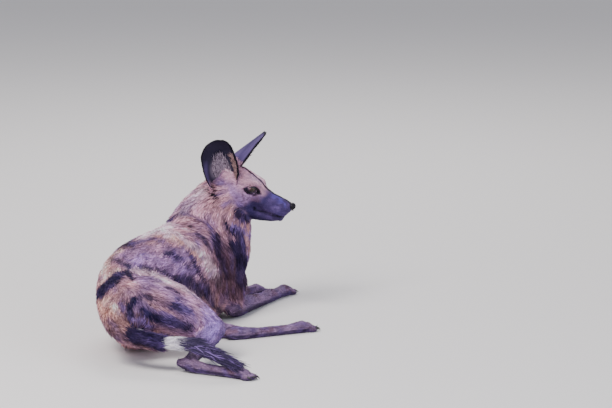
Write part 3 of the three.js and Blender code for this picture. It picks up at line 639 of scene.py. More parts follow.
def on_coat(place):
    """Where the line of sight through a place of the picture meets or passes nearest the solids."""
    way = sight(place)
    hit = flesh_tree.ray_cast(Vector(CAMERA_PLACE), Vector(way))[0]
    if hit is not None:
        return np.array(hit)
    tries = [flesh_tree.find_nearest(Vector(CAMERA_PLACE + way * depth)) for depth in SIGHT_DEPTHS]
    return np.array(min(tries, key=lambda found: found[3])[0])


def cast_line(places):
    """The stroke laid on the solids, in short steps so that it follows their curve."""
    line = []
    for a, b in zip(places[:-1], places[1:]):
        steps = max(1, math.ceil(math.dist(a, b) / MARK_STEP))
        line += [on_coat(np.array(a) + (np.array(b) - np.array(a)) * k / steps) for k in range(steps)]
    return np.array([*line, on_coat(places[-1])])


mark_lines = {name: cast_line(mark[-1]) for name, mark in MARKS.items()}


def coat_colours(points, normals, owners, on_head):
    """Colour of the coat at each place, with painted shade under the legs, on the flank and under the jaw."""
    on_leg = np.isin(owners, BARE_LEGS)
    far_side = ramp(normals[:, 1], 0.0, 0.35) * (1 - on_head)
    drifted = warped(points, size=0.05, reach=0.02, seed=61)
    layers = [
        (PINK_TAN, ramp(noise(points, size=0.07, seed=3), 0.3, 0.7)),
        (VIOLET_GREY, 0.6 * patches(points, size=0.035, seed=11, start=0.50, full=0.68)),
        (YELLOW_TAN, 0.5 * patches(points, size=0.05, seed=23, start=0.54, full=0.70)),
        (LEG_LILAC, 0.85 * on_leg),
        (BROWN, 0.7 * on_leg * patches(points, size=0.03, seed=17, start=0.50, full=0.62)),
        # Painted shade: the legs are darker where they face the ground.
        (NAVY, 0.75 * on_leg * ramp(-normals[:, 2], -0.1, 0.5)),
        (NAVY, 0.93 * far_side * patches(drifted, size=0.085, seed=41, start=0.50, full=0.56)),
        (WHITE, 0.8 * far_side * patches(points, size=0.06, seed=87, start=0.64, full=0.68)),
    ]
    colours = layered(filled(TAN, len(points)), layers)
    moved = warped(warped(points, size=0.03, reach=0.005, seed=71), size=0.009, reach=0.0025, seed=91)
    seen = in_picture(moved)
    facing = ramp(-(normals @ LOOK), -0.25, 0.05)
    for name, (colour, strength, half, edge, places) in MARKS.items():
        across = np.minimum(line_distance(seen, np.array(places, float)), MARK_REACH) / PIXELS_PER_METRE
        away = line_distance(moved, mark_lines[name])
        near = ramp(MARK_DEPTH + half * MM - away, -MARK_DEPTH_EDGE, MARK_DEPTH_EDGE)
        share = ramp(half * MM - across, -edge * MM, edge * MM)
        colours = mix(colours, colour, strength * share * near * facing)
    return head_colours(moved, colours, on_head)


# Spots on the side of the head: middle forward and up, stretch forward, and radius full and gone.
THROAT_SPOT = (0.028, -0.050, 1.0, 0.014, 0.030)
CHEEK_SPOT = (0.040, -0.008, 1.5, 0.014, 0.036)
WHISKER_SPOT = (0.130, 0.0, 1.6, 0.004, 0.014)
EYE_SPOT = (EYE[0] + 0.007, EYE[2] - 0.001, 1.9, 0.010, 0.0135)
UNDER_EYE_SPOT = (0.070, 0.006, 1.5, 0.006, 0.014)
BROW_SPOT = (0.045, 0.012, 1.0, 0.008, 0.030)
BROW_HEIGHT = 0.02


def spot(forward, beside, shape):
    f, b, stretch, full, gone = shape
    return fade(np.hypot((forward - f) / stretch, beside - b), full, gone)


def head_colours(moved, colours, on_head):
    """Markings of the face, in the head's frame, with a painted highlight on the bridge of the muzzle."""
    places = to_head(moved)
    f, side, u = places[:, 0], np.abs(places[:, 1]), places[:, 2]
    muzzle_start = 0.048 + 0.8 * np.clip(u, -0.06, 0.03)
    muzzle = ramp(f, muzzle_start, muzzle_start + 0.028)
    # Painted highlight along the top of the muzzle, stopping short of the nose.
    bridge_highlight = ramp(u - 0.35 * (0.15 - f), 0.004, 0.018) * ramp(f, 0.085, 0.11) * fade(f, 0.146, 0.162)
    stripe = fade(side, 0.0045, 0.0080) * (u > BROW_HEIGHT) * ramp(f, -0.03, -0.01)
    speckle = patches(moved, size=0.007, seed=37, start=0.45, full=0.65)
    mottle = patches(moved, size=0.012, seed=29, start=0.30, full=0.60)
    whisker_roots = ramp(noise(moved, size=0.006, seed=19), 0.4, 0.7)
    layers = [
        (PINK_TAN, 0.85 * ramp(u, -0.01, 0.02)),
        (LILAC, 0.55 * fade(u, 0.0, 0.04) * ramp(side, 0.015, 0.04)),
        (PALE, 0.5 * spot(f, side, BROW_SPOT) * (u > BROW_HEIGHT)),
        (NAVY, 0.85 * spot(f, u, THROAT_SPOT)),
        (BROWN, 0.65 * spot(f, u, CHEEK_SPOT) * speckle),
        (MUZZLE, 0.96 * muzzle),
        (MUZZLE_PAINTED_HIGHLIGHT, 0.7 * bridge_highlight * mottle),
        (NAVY, 0.8 * muzzle * ramp(-u, 0.030, 0.050)),
        (LILAC, 0.2 * spot(f, u, WHISKER_SPOT) * whisker_roots),
        (BLACK, 0.97 * spot(f, u, EYE_SPOT) * (side > FACE_SIDE)),
        (BROWN, 0.6 * spot(f, u, UNDER_EYE_SPOT) * (side > FACE_SIDE)),
        (BLACK, 0.95 * stripe),
        (BLACK, 0.8 * ramp(f, 0.055, 0.07) * fade(mouth_distance(places), 0.0018, 0.004)),
    ]
    return layered(colours, [(colour, share * on_head) for colour, share in layers])


# Meshes made from arrays.
def fast_mesh(name, points, faces, colours, uv):
    mesh = bpy.data.meshes.new(name)
    mesh.vertices.add(len(points))
    mesh.vertices.foreach_set("co", np.asarray(points, np.float32).ravel())
    mesh.loops.add(faces.size)
    mesh.loops.foreach_set("vertex_index", faces.ravel().astype(np.int32))
    mesh.polygons.add(len(faces))
    mesh.polygons.foreach_set("loop_start", np.arange(0, faces.size, 3, dtype=np.int32))
    mesh.polygons.foreach_set("loop_total", np.full(len(faces), 3, np.int32))
    mesh.polygons.foreach_set("use_smooth", np.ones(len(faces), bool))
    mesh.update(calc_edges=True)
    rgba = np.concatenate([colours, np.ones((len(colours), 1))], axis=1).astype(np.float32)
    mesh.color_attributes.new("coat", "FLOAT_COLOR", "POINT").data.foreach_set("color", rgba.ravel())
    if uv is not None:
        mesh.uv_layers.new(name="OFBake").data.foreach_set("uv", uv.astype(np.float32).ravel())
    return mesh


def add_piece(name, points, faces, colours, material, slot=None, replaced=(), uv=None):
    """Adds a piece of the part. The colours are one for each point, or one for all."""
    if np.ndim(colours) == 1:
        colours = filled(colours, len(points))
    mesh = fast_mesh(name, points, faces, colours, uv)
    mesh.materials.append(material)
    piece = new_object(name, mesh)
    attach(piece, "root")
    if replaced:
        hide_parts(*replaced)
    return piece


def unwrap(piece):
    """Unwraps the piece's own surface into the map OFBake, and returns the map by face and corner."""
    piece.data.uv_layers.new(name="OFBake")
    bpy.context.view_layer.objects.active = piece
    piece.select_set(True)
    bpy.ops.object.mode_set(mode="EDIT")
    bpy.ops.mesh.select_all(action="SELECT")
    bpy.ops.uv.smart_project(angle_limit=math.radians(66), island_margin=0.002)
    bpy.ops.object.mode_set(mode="OBJECT")
    piece.select_set(False)
    values = np.empty(len(piece.data.loops) * 2)
    piece.data.uv_layers["OFBake"].data.foreach_get("uv", values)
    return values.reshape(-1, 3, 2)


# Materials.
GRAIN_SCALE = 220
GRAIN_SHADES = (0.78, 1.22)


def set_inputs(node, values):
    for name, value in values.items():
        node.inputs[name].default_value = value


def new_material(name, values):
    """Material with those values in its shader, its node tree and its shader."""
    material = bpy.data.materials.new(name)
    material.use_nodes = True
    shader = material.node_tree.nodes["Principled BSDF"]
    set_inputs(shader, values)
    return material, material.node_tree, shader


def mesh_colour(tree):
    """The colour that the mesh carries."""
    colour = tree.nodes.new("ShaderNodeAttribute")
    colour.attribute_name = "coat"
    return colour.outputs["Color"]


def grained_material(name, roughness, sheen, bump):
    """Colour from the mesh, varied by fine noise, with a low bump."""
    values = {"Roughness": roughness, "Specular IOR Level": 0.14}
    values |= {"Sheen Weight": sheen, "Sheen Roughness": 0.4}
    material, tree, shader = new_material(name, values)
    place = tree.nodes.new("ShaderNodeTexCoord")
    grain = tree.nodes.new("ShaderNodeTexNoise")
    set_inputs(grain, {"Scale": GRAIN_SCALE, "Detail": 3})
    tree.links.new(place.outputs["Object"], grain.inputs["Vector"])
    shade = tree.nodes.new("ShaderNodeMapRange")
    set_inputs(shade, {"To Min": GRAIN_SHADES[0], "To Max": GRAIN_SHADES[1]})
    tree.links.new(grain.outputs["Fac"], shade.inputs["Value"])
    scaled = tree.nodes.new("ShaderNodeVectorMath")
    scaled.operation = "SCALE"
    tree.links.new(mesh_colour(tree), scaled.inputs[0])
    tree.links.new(shade.outputs["Result"], scaled.inputs["Scale"])
    tree.links.new(scaled.outputs["Vector"], shader.inputs["Base Color"])
    raised = tree.nodes.new("ShaderNodeBump")
    set_inputs(raised, {"Strength": bump, "Distance": 0.001})
    tree.links.new(grain.outputs["Fac"], raised.inputs["Height"])
    tree.links.new(raised.outputs["Normal"], shader.inputs["Normal"])
    return material


def gloss_material(name, roughness, coat):
    values = {"Roughness": roughness, "Coat Weight": coat, "Coat Roughness": 0.03}
    material, tree, shader = new_material(name, values)
    tree.links.new(mesh_colour(tree), shader.inputs["Base Color"])
    return material


coat_material = grained_material("coat", 0.66, 0.02, 0.4)

# Tufts.
UV_PATCH = 0.003
TUFTS_A_PIECE = 19000
TUFT_SINK = 0.0008
TUFT_TAPER = 0.55
TUFT_THICKNESS = 0.45
LIFT_KEPT = 0.45
# Each tuft is darkened at its root as painted shade and brightened at its tip as painted light.
ROOT_PAINTED_SHADE = 0.82
TIP_PAINTED_LIGHT = 1.12


def quad(a, b, c, d):
    return [(a, b, c), (a, c, d)]


def tuft_arrays(roots, normals, runs, lengths, widths, lifts, rings, droop):
    """Closed tapered blades of three sides: their points and faces, and the number of points in each."""
    sides = np.cross(normals, runs)
    centre = roots - normals * TUFT_SINK
    lift = lifts
    columns = []
    for k in range(rings):
        width = (widths * (1 - TUFT_TAPER * (k / rings) ** 1.5))[:, None]
        half = sides * width / 2
        columns += [centre - half, centre + half, centre + normals * TUFT_THICKNESS * width]
        heading = runs * np.cos(lift)[:, None] + normals * np.sin(lift)[:, None]
        centre = centre + heading * (lengths / rings)[:, None]
        lift = lift * LIFT_KEPT - droop
    points = np.stack([*columns, centre], axis=1).reshape(-1, 3)
    tip = 3 * rings
    faces = [(0, 2, 1)]
    for a, b in ((0, 1), (1, 2), (2, 0)):
        for low in range(0, tip - 3, 3):
            faces += quad(low + a, low + b, low + b + 3, low + a + 3)
        faces.append((tip - 3 + a, tip - 3 + b, tip))
    every = (np.arange(len(roots)) * (tip + 1))[:, None, None] + np.array(faces)[None]
    return points, every.reshape(-1, 3), tip + 1


def tuft_uv(root_uv, faces, per):
    """Each tuft as a small patch at its root's place."""
    local = faces % per
    across = np.choose(local % 3, [-0.5, 0.5, 0.0])
    along = (local // 3) / (per // 3) - 0.5
    return root_uv[faces // per] + UV_PATCH * np.stack([across, along], axis=-1)


def add_tufts(name, tufts, rings=2, droop=0.0):
    """Adds tufts as one or more pieces, from roots, normals, runs, lengths, widths, lifts, colours and uv."""
    for part, start in enumerate(range(0, len(tufts[0]), TUFTS_A_PIECE)):
        *form, colours, uv = (values[start:start + TUFTS_A_PIECE] for values in tufts)
        points, faces, per = tuft_arrays(*form, rings, droop)
        points[:, 2] = np.maximum(points[:, 2], TUFT_CLEARANCE)
        # Painted shade at the root of each tuft, painted light at its tip.
        level = np.tile((np.arange(per) // 3) / (per // 3), len(uv))
        shade = (ROOT_PAINTED_SHADE + (TIP_PAINTED_LIGHT - ROOT_PAINTED_SHADE) * level)[:, None] * np.repeat(colours, per, axis=0)
        uv = tuft_uv(uv, faces, per)
        add_piece(f"{name}_{part + 1}", points, faces, np.clip(shade, 0, 1), coat_material, "coat", uv=uv)


def scattered(rng, points, faces, spacing):
    """Random places on the faces, one for each spacing squared, spacing given for each face."""
    a, b, c = (points[faces[:, k]] for k in range(3))
    area = 0.5 * np.linalg.norm(np.cross(b - a, c - a), axis=1)
    wanted = area / spacing**2
    total = int(wanted.sum())
    chosen = rng.choice(len(faces), total, p=wanted / wanted.sum())
    u, v = rng.random(total), rng.random(total)
    flip = u + v > 1
    u[flip], v[flip] = 1 - u[flip], 1 - v[flip]
    return chosen, np.stack([1 - u - v, u, v], axis=1)


# Streaks of the hair, spread along its lie only.
FLOW_ROUNDS = 12
STREAK_KEPT = 0.3
STREAK_POWER = 6
LEAST_SHARE = 1e-4
skin_normals = vertex_normals(skin_points, skin_faces)
_, owner = near_flesh(skin_points)
skin_points = skin_points - skin_normals * SKIN_DEPTH * (skin_points[:, 2:3] > SOLE_HEIGHT)
skin_points[:, 2] = np.maximum(skin_points[:, 2], SKIN_CLEARANCE)
head_share = net.mean((owner == HEAD).astype(float), HEAD_BLEND)
skin_flow = along_skin(hair_direction(skin_points), skin_normals)
for _ in range(FLOW_ROUNDS):
    skin_flow = along_skin(net.mean(skin_flow), skin_normals)


def streaked(values, rounds):
    """Values spread along the lie of the hair, from -1 to 1."""
    a, b = net.ends
    way = unit(skin_points[b] - skin_points[a])
    share = np.abs(np.sum(way * (skin_flow[a] + skin_flow[b]) / 2, axis=1)) ** STREAK_POWER + LEAST_SHARE
    weight = net.total(np.ones(net.count), share)
    for _ in range(rounds):
        values = net.total(values, share) / weight * (1 - STREAK_KEPT) + values * STREAK_KEPT
    return np.clip((values - values.mean()) / (2 * values.std()), -1, 1)


streaks = streaked(np.random.default_rng(5).random(len(skin_points)), rounds=12)
wide_streaks = streaked(rough_noise(skin_points, size=0.012, seed=77), rounds=10)


def streaky(colours, fine, wide, on_head):
    """Coat colours with the streaks of the hair: violet shade between lit strands."""
    calm = 1 - 0.5 * on_head
    colours = mix(colours, VIOLET_GREY, 0.75 * np.clip(-wide, 0, 1) * calm)
    colours = mix(colours, NAVY, 0.45 * np.clip(-fine - 0.2, 0, 1) * calm)
    lit = 0.65 * np.clip(fine, 0, 1) * calm + 0.25 * np.clip(wide, 0, 1) * calm
    return colours * (1 + lit)[:, None]


# The skin under the tufts is darkened as painted shade under the hair.
UNDER_HAIR_PAINTED_SHADE = 0.75
skin_colours = coat_colours(skin_points, skin_normals, owner, head_share)
skin_colours = np.clip(streaky(skin_colours, streaks, wide_streaks, head_share), 0, 1) * UNDER_HAIR_PAINTED_SHADE
skin = add_piece("skin", skin_points, skin_faces, skin_colours, coat_material, "coat", FLESH)
skin_uv = unwrap(skin)

# Hair of the skin, by group of nodes.
GROUPS = {f"coat_{part}": [part] for part in ("torso", "neck", "head", "tail")}
GROUPS |= {f"coat_{leg}": [name for name in FLESH if name.startswith(leg)] for leg in LEGS}
STREAK_JITTER = 0.006
LEAST_COLOUR = 0.006
FACE_MIDDLE = (0.06, 0, 0)
FACE_RADIUS = 0.13
SHORTEST_HAIR = 0.55
BARE_EYE = 0.0095
BARE_EYE_STRETCH = 1.25
LEAST_ROOT_HEIGHT = 0.0015


def blend(corner_values, shares):
    return np.einsum("ij,ijk->ik", shares, corner_values)


def face_shortening(places):
    """Hair gets shorter towards the nose and round the eyes."""
    head = to_head(places)
    on_face = np.linalg.norm(head - FACE_MIDDLE, axis=1) < FACE_RADIUS
    return np.where(on_face, SHORTEST_HAIR + (1 - SHORTEST_HAIR) * fade(head[:, 0], 0.02, 0.10), 1.0)


def clear_places(places):
    """Places that keep a tuft: off the eyeballs and the sole side."""
    head = to_head(places)
    eye = np.hypot((head[:, 0] - EYE[0]) / BARE_EYE_STRETCH, head[:, 2] - EYE[2])
    return ~((eye < BARE_EYE) & (np.abs(head[:, 1]) > FACE_SIDE)) & (places[:, 2] > LEAST_ROOT_HEIGHT)


def dress_skin():
    rng = np.random.default_rng(21)
    face_owners = owner[skin_faces[:, 0]]
    streak_values = np.stack([head_share, streaks, wide_streaks], axis=1)
    for group, names in GROUPS.items():
        mine = np.flatnonzero(np.isin(face_owners, [FLESH.index(name) for name in names]))
        spacing = part_rows[face_owners[mine], 1] * MM
        chosen, shares = scattered(rng, skin_points, skin_faces[mine], spacing)
        chosen = mine[chosen]
        corners = skin_faces[chosen]
        places, normals, flow, values = (
            blend(layer[corners], shares) for layer in (skin_points, skin_normals, skin_flow, streak_values)
        )
        on_head, fine, wide = values.T
        _, _, length, width, lift = part_rows[face_owners[chosen]].T
        normals = unit(normals)
        count = len(places)
        short = face_shortening(places)
        lengths = length * MM * short * rng.uniform(0.75, 1.25, count)
        swing = 0.5 * (rough_noise(places, size=0.02, seed=33) - 0.5) + rng.normal(0, 0.10, count)
        runs = turned(along_skin(flow, normals), normals, swing)
        widths = width * MM * (0.5 + 0.5 * short) * rng.uniform(0.8, 1.2, count)
        lifts = np.radians(lift) * rng.uniform(0.6, 1.4, count)
        along = 0.45 * lengths + rng.normal(0, STREAK_JITTER, count) * (1 - 0.7 * on_head)
        colours = coat_colours(places + runs * along[:, None], normals, face_owners[chosen], on_head)
        colours = streaky(colours, fine, wide, on_head) * rng.normal(1, 0.24, count)[:, None]
        colours = np.clip(colours, LEAST_COLOUR, 1)
        keep = clear_places(places)
        tufts = (places, normals, runs, lengths, widths, lifts, colours, blend(skin_uv[chosen], shares))
        add_tufts(group, [values[keep] for values in tufts])


dress_skin()


# Round pieces.
def tube(path, radii, around, up=(0.0, 0.0, 1.0)):
    """Closed round piece along the path."""
    ways = unit(np.gradient(path, axis=0))
    above = along_skin(np.array(up), ways)
    beside = np.cross(ways, above)
    turn = np.linspace(0, 2 * math.pi, around, endpoint=False)[None, :, None]
    ring = np.cos(turn) * beside[:, None] + np.sin(turn) * above[:, None]
    points = (path[:, None] + radii[:, None, None] * ring).reshape(-1, 3)
    start, end = len(points), len(points) + 1
    last = (len(path) - 1) * around
    faces = []
    for j in range(around):
        k = (j + 1) % around
        for low in range(0, last, around):
            faces += quad(low + j, low + k, low + k + around, low + j + around)
        faces += [(start, k, j), (end, last + j, last + k)]
    return np.concatenate([points, path[:1], path[-1:]]), np.array(faces)


def ball(tall, wide):
    """Unit sphere about the X axis, as points and faces, pole first."""
    rings = np.linspace(0, math.pi, tall + 1)[1:-1]
    turn = np.linspace(0, 2 * math.pi, wide, endpoint=False)
    points = [
        (math.cos(a), math.sin(a) * math.cos(b), math.sin(a) * math.sin(b))
        for a in rings
        for b in turn
    ]
    points = np.array([(1, 0, 0), *points, (-1, 0, 0)])
    end = len(points) - 1
    faces = []
    for j in range(wide):
        k = (j + 1) % wide
        faces += [(0, 1 + j, 1 + k), (end, end - wide + k, end - wide + j)]
        for low in range(1, end - wide, wide):
            faces += quad(low + j, low + wide + j, low + wide + k, low + k)
    return points, np.array(faces)


def joined(pieces):
    """Several sets of points and faces as one."""
    points, faces, start = [], [], 0
    for piece_points, piece_faces in pieces:
        points.append(piece_points)
        faces.append(piece_faces + start)
        start += len(piece_points)
    return np.concatenate(points), np.concatenate(faces)


# Ears: curved cups, as in the solids, with hair on both faces and at the rim.
EAR_HALF_WIDTH = 0.049
EAR_LEAST_WIDTH = 0.004
EAR_THICKNESS = 0.0028
EAR_START = -0.06
EAR_END = 0.99
EAR_ROWS = 60
EAR_COLUMNS = 48
EAR_LOBE = (0.66, 0.13)
EAR_RELIEF = 0.0022
EAR_BACK = (0.095, 0.066, 0.18)
EAR_INSIDE = (0.026, 0.020, 0.045)
EAR_HAIR = (0.44, 0.34, 0.44)
EAR_TUFT_PINK = (0.34, 0.21, 0.21)
LONG_EAR_HAIR = 15
# The wrap is in degrees, at the root and above. A spine makes the back straight, so far behind the root.
EARS = {
    "right": {
        "root": (122, 300, 361), "top": (116, 256, 493), "opening": (0.3, -0.93, 0.1), "wrap": (128, 52),
        "lean": 14, "widest": 0.46, "root_share": 0.74, "roundness": 2.5, "spine": None, "seed": 31,
    },
    "left": {
        "root": (145, 374, 399), "top": (243, 424, 496), "opening": (0.96, 0.04, -0.27), "wrap": (92, 50),
        "lean": 0, "widest": 0.25, "root_share": 0.98, "roundness": 2.2, "spine": 26, "seed": 32,
    },
}
# Hair of the ears: count, range of height, range across, outward face, length, width, lift and colour.
EAR_HAIR_BEDS = {
    "back": (3600, (0.0, 0.98), (-1, 1), 1, 5.0, 1.3, 10, None),
    "inside": (2600, (0.05, 0.98), (-1, 1), -1, 4.5, 1.2, 12, None),
    "front rim": (700, (0.25, 0.97), (0.96, 1.0), 1, 6.0, 1.3, 25, BLACK),
    "back rim": (700, (0.1, 0.97), (-1.0, -0.96), 1, 6.0, 1.3, 25, BLACK),
    "grey": (330, (0.05, 0.56), (-0.22, 0.56), -1, 20, 1.4, 24, EAR_HAIR),
    "front": (220, (0.14, 0.58), (0.72, 0.97), -1, 15, 1.5, 30, EAR_TUFT_PINK),
    "white": (150, (0.04, 0.2), (0.2, 0.75), -1, 20, 1.7, 30, WHITE),
    "lobe": (260, (-0.02, 0.16), (-1.0, -0.5), 1, 9, 1.6, 14, PINK_TAN),
}


class Ear:
    """Maps the share of the ear's height and the share across, -1 to 1, to places on its sheet."""

    def __init__(self, root, top, opening, wrap, lean, widest, root_share, roundness, spine, seed):
        self.root = np.array(root) * MM + SHIFT
        axis = np.array(top) * MM + SHIFT - self.root
        self.height = np.linalg.norm(axis)
        self.axis = axis / self.height
        self.opening = along_skin(np.array(opening), self.axis)
        self.side = np.cross(self.axis, self.opening)
        self.wrap = wrap
        self.lean = lean * MM
        self.widest = widest
        self.root_share = root_share
        self.roundness = roundness
        self.spine = spine
        self.rng = np.random.default_rng(seed)

    def half_width(self, s):
        over = np.clip((s - self.widest) / (1 - self.widest), 0, 1)
        high = np.sqrt(1 - over**self.roundness)
        low = self.root_share + (1 - self.root_share) * ramp(s, 0, self.widest)
        return np.maximum(EAR_HALF_WIDTH * np.where(s > self.widest, high, low), EAR_LEAST_WIDTH)

    def places(self, s, t, outward):
        """Places at a distance outward from the middle of the sheet."""
        lobe = EAR_LOBE[0] + (1 - EAR_LOBE[0]) * ramp(s, EAR_START, EAR_LOBE[1])
        low, high = self.wrap
        half = np.radians((low + (high - low) * np.minimum(1, s * 1.5)) * lobe)
        radius = self.half_width(np.maximum(0, s)) / np.sin(np.minimum(half, math.pi / 2))
        if self.spine is None:
            forth = radius * 0.45 - self.lean * np.maximum(0, s) ** 2
        else:
            forth = radius - self.spine * MM * (1 - s)
        r = radius + outward
        across = (r * np.sin(t * half))[:, None] * self.side
        deep = (forth - r * np.cos(t * half))[:, None] * self.opening
        return self.root + (s * self.height)[:, None] * self.axis + across + deep

    def frame(self, s, t, outward):
        """Place, outward normal and upward run of the sheet."""
        step = 0.004
        here = self.places(s, t, outward)
        run = self.places(s + step, t, outward) - self.places(s - step, t, outward)
        across = self.places(s, t + step, outward) - self.places(s, t - step, outward)
        normal = unit(np.cross(across, run))
        flip = np.sum((self.places(s, t, outward + 0.001) - here) * normal, axis=1) < 0
        normal[flip] *= -1
        return here, normal, unit(run)


def ear_relief(s, t):
    """Low ridges of the inner face."""
    ridges = bell(t, 0.35 - 0.3 * s, 0.06) + 0.8 * bell(t, -0.15 - 0.2 * s, 0.07)
    return EAR_RELIEF * ridges * ramp(s, 0.02, 0.20) * fade(s, 0.40, 0.75)


def ear_colours(s, t, inside):
    """Colours of one face of an ear."""
    lobe = (PINK_TAN, 0.85 * fade(s, 0.08, 0.20) * ramp(np.abs(t), 0.3, 0.6))
    edge = ramp(np.where(t > 0, t + 0.02, -t), 0.88, 0.95) * ramp(s, 0.16, 0.30)
    rim = (BLACK, 0.95 * edge + 0.9 * ramp(s, 0.88, 0.96))
    if inside:
        pale = 0.5 * fade(np.hypot((s - 0.33) / 0.30, (t - 0.1) / 0.55), 0.4, 1.0)
        rolled = 0.9 * ramp(-t, 0.35, 0.60) * fade(s, 0.42, 0.62)
        return layered(filled(EAR_INSIDE, len(s)), [(EAR_HAIR, pale), (EAR_BACK, rolled), lobe, rim])
    low = 0.7 * fade(s, 0.02, 0.25)
    spread = np.stack([0.3 * s, t, 0 * s], axis=1)
    dark = 0.6 * patches(spread, size=0.25, seed=61, start=0.35, full=0.65)
    return layered(filled(EAR_BACK, len(s)), [lobe, (TAN, low), (NAVY, dark), rim])


def ear_sheet(ear):
    rows = np.linspace(EAR_START, EAR_END, EAR_ROWS + 1)
    columns = np.sin(np.linspace(-1, 1, EAR_COLUMNS + 1) * math.pi / 2)
    s, t = (grid.ravel() for grid in np.meshgrid(rows, columns, indexing="ij"))
    rim = 1 - ramp(np.abs(t), 0.86, 1.0) * 0.75
    thick = EAR_THICKNESS * (1 - 0.3 * np.maximum(0, s)) * rim
    inner = ear.places(s, t, -thick / 2 - ear_relief(s, t))
    outer = ear.places(s, t, thick / 2)
    wide = EAR_COLUMNS + 1
    top = EAR_ROWS * wide
    back = len(s)
    faces = []
    for low in range(0, top, wide):
        high = low + wide
        low_right, high_right = low + EAR_COLUMNS, high + EAR_COLUMNS
        faces += quad(low, high, back + high, back + low)
        faces += quad(low_right, back + low_right, back + high_right, high_right)
        for j in range(EAR_COLUMNS):
            faces += quad(low + j, low + j + 1, high + j + 1, high + j)
            faces += quad(back + low + j, back + high + j, back + high + j + 1, back + low + j + 1)
    for j in range(EAR_COLUMNS):
        faces += quad(j, back + j, back + j + 1, j + 1)
        faces += quad(top + j, top + j + 1, back + top + j + 1, back + top + j)
    colours = np.concatenate([ear_colours(s, t, True), ear_colours(s, t, False)])
    return np.concatenate([inner, outer]), np.array(faces), colours


def ear_bed(ear, count, s_range, t_range, face, length, width, lift, colour):
    """One bed of hair of an ear, as arrays for its tufts."""
    rng = ear.rng
    s = rng.uniform(*s_range, count)
    t = rng.uniform(*t_range, count)
    if length >= LONG_EAR_HAIR:
        end = 2 * (s - s_range[0]) / (s_range[1] - s_range[0]) - 1
        t = np.mean(t_range) + (t - np.mean(t_range)) * np.sqrt(1 - 0.85 * end**2)
    here, normal, run = ear.frame(s, t, np.full(count, face * EAR_THICKNESS * 0.35))
    normal = normal * face
    run = turned(along_skin(run, normal), normal, rng.normal(0, 0.3, count))
    lengths = length * MM * rng.uniform(0.7, 1.3, count)
    widths = width * MM * rng.uniform(0.8, 1.2, count)
    lifts = np.radians(lift) * rng.uniform(0.6, 1.4, count)
    shade = ear_colours(s, t, face < 0) if colour is None else filled(colour, count)
    shade = np.clip(shade * rng.normal(1, 0.3, count)[:, None], 0.004, 1)
    uv = np.stack([0.25 + 0.22 * t + 0.5 * (face < 0), 0.05 + 0.9 * np.clip(s, 0, 1)], axis=1)
    return here, normal, run, lengths, widths, lifts, shade, uv


def add_ear(side):
    ear = Ear(**EARS[side])
    unwrap(add_piece(f"ear_{side}_sheet", *ear_sheet(ear), coat_material, "coat", [f"ear_{side}"]))
    beds = [ear_bed(ear, *bed) for bed in EAR_HAIR_BEDS.values()]
    add_tufts(f"ear_{side}_hair", [np.concatenate(values) for values in zip(*beds)])


for side_name in SIDES:
    add_ear(side_name)

# Eyes, with lids of dark skin. Rings: colour, and degrees from the middle where it is full and gone.
EYE_WHITE = (0.10, 0.075, 0.07)
EYE_RINGS = [
    ((0.020, 0.012, 0.010), 44, 50),
    ((0.070, 0.036, 0.022), 36, 42),
    ((0.004, 0.004, 0.005), 15, 18),
]
EYE_FILL = 0.985
EYE_BULGE = 0.045
GAZE_FORWARD = 0.5
LID = (0.016, 0.013, 0.020)
LID_ROLLS = ((0.0066, 0.0021), (-0.0060, 0.0018))
LID_REACH = 0.0022
LID_LIFT = 0.0003


def add_eye(side, sign, material, lid_material):
    middle = from_head(EYE * [1, sign, 1])
    out = unit(RIGHT * sign + FORWARD * GAZE_FORWARD)
    beside = along_skin(FORWARD, out)
    above = np.cross(out, beside) * sign
    points, faces = ball(40, 40)
    angle = np.degrees(np.arccos(np.clip(points[:, 0], -1, 1)))
    radius = EYE_RADIUS * EYE_FILL * (1 + EYE_BULGE * bell(angle, 0, 32))
    rings = [(colour, fade(angle, full, gone)) for colour, full, gone in EYE_RINGS]
    colours = layered(filled(EYE_WHITE, len(points)), rings)
    points = middle + radius[:, None] * (points @ np.array([out, beside, above]))
    add_piece(f"eyeball_{side}", points, faces, colours, material, "eye", [f"eye_{side}"])
    a = np.linspace(-0.06, 1.06, 33) * math.pi
    w = np.cos(a) * (EYE_RADIUS + LID_REACH)
    rolls = []
    for rise, thick in LID_ROLLS:
        h = np.sin(a) * rise
        depth = 0.95 * np.sqrt(np.maximum(0, (EYE_RADIUS + LID_LIFT) ** 2 - h * h - 0.6 * w * w))
        path = middle + np.stack([depth, w, h], axis=1) @ np.array([out, beside, above])
        rolls.append(tube(path, thick * (0.55 + 0.45 * np.sin(np.clip(a, 0, math.pi))), 12, out))
    add_piece(f"lids_{side}", *joined(rolls), LID, lid_material)


eye_material = gloss_material("eye", 0.3, 0.15)
lid_material = gloss_material("lid", 0.45, 0.1)
for side_name, side_sign in SIDES.items():
    add_eye(side_name, side_sign, eye_material, lid_material)

# Nose pad with its nostrils, on a ball of radius 1 that is then sized.
NOSE_SIZE = np.array([0.0100, 0.0132, 0.0108])
NOSE_COLOUR = (0.014, 0.012, 0.018)
NOSE_HEIGHTS = (0.9, 1.05)
# Painted shade darkening the nostril hollows.
NOSTRIL_PAINTED_SHADE = 0.8
# Dents: middle and width across, middle and width up, depth, and how far forward they start.
NOSTRIL = (0.46, 0.17, -0.02, 0.24, 0.42, 0.2)
NOSTRIL_SLIT = (0.78, 0.22, -0.22, 0.10, 0.22, 0.0)
NOSTRIL_FLARE = (0.72, 0.20, 0.12, 0.30, -0.05, 0.0)
PHILTRUM_WIDTH = 0.06
PHILTRUM_DEPTH = 0.10


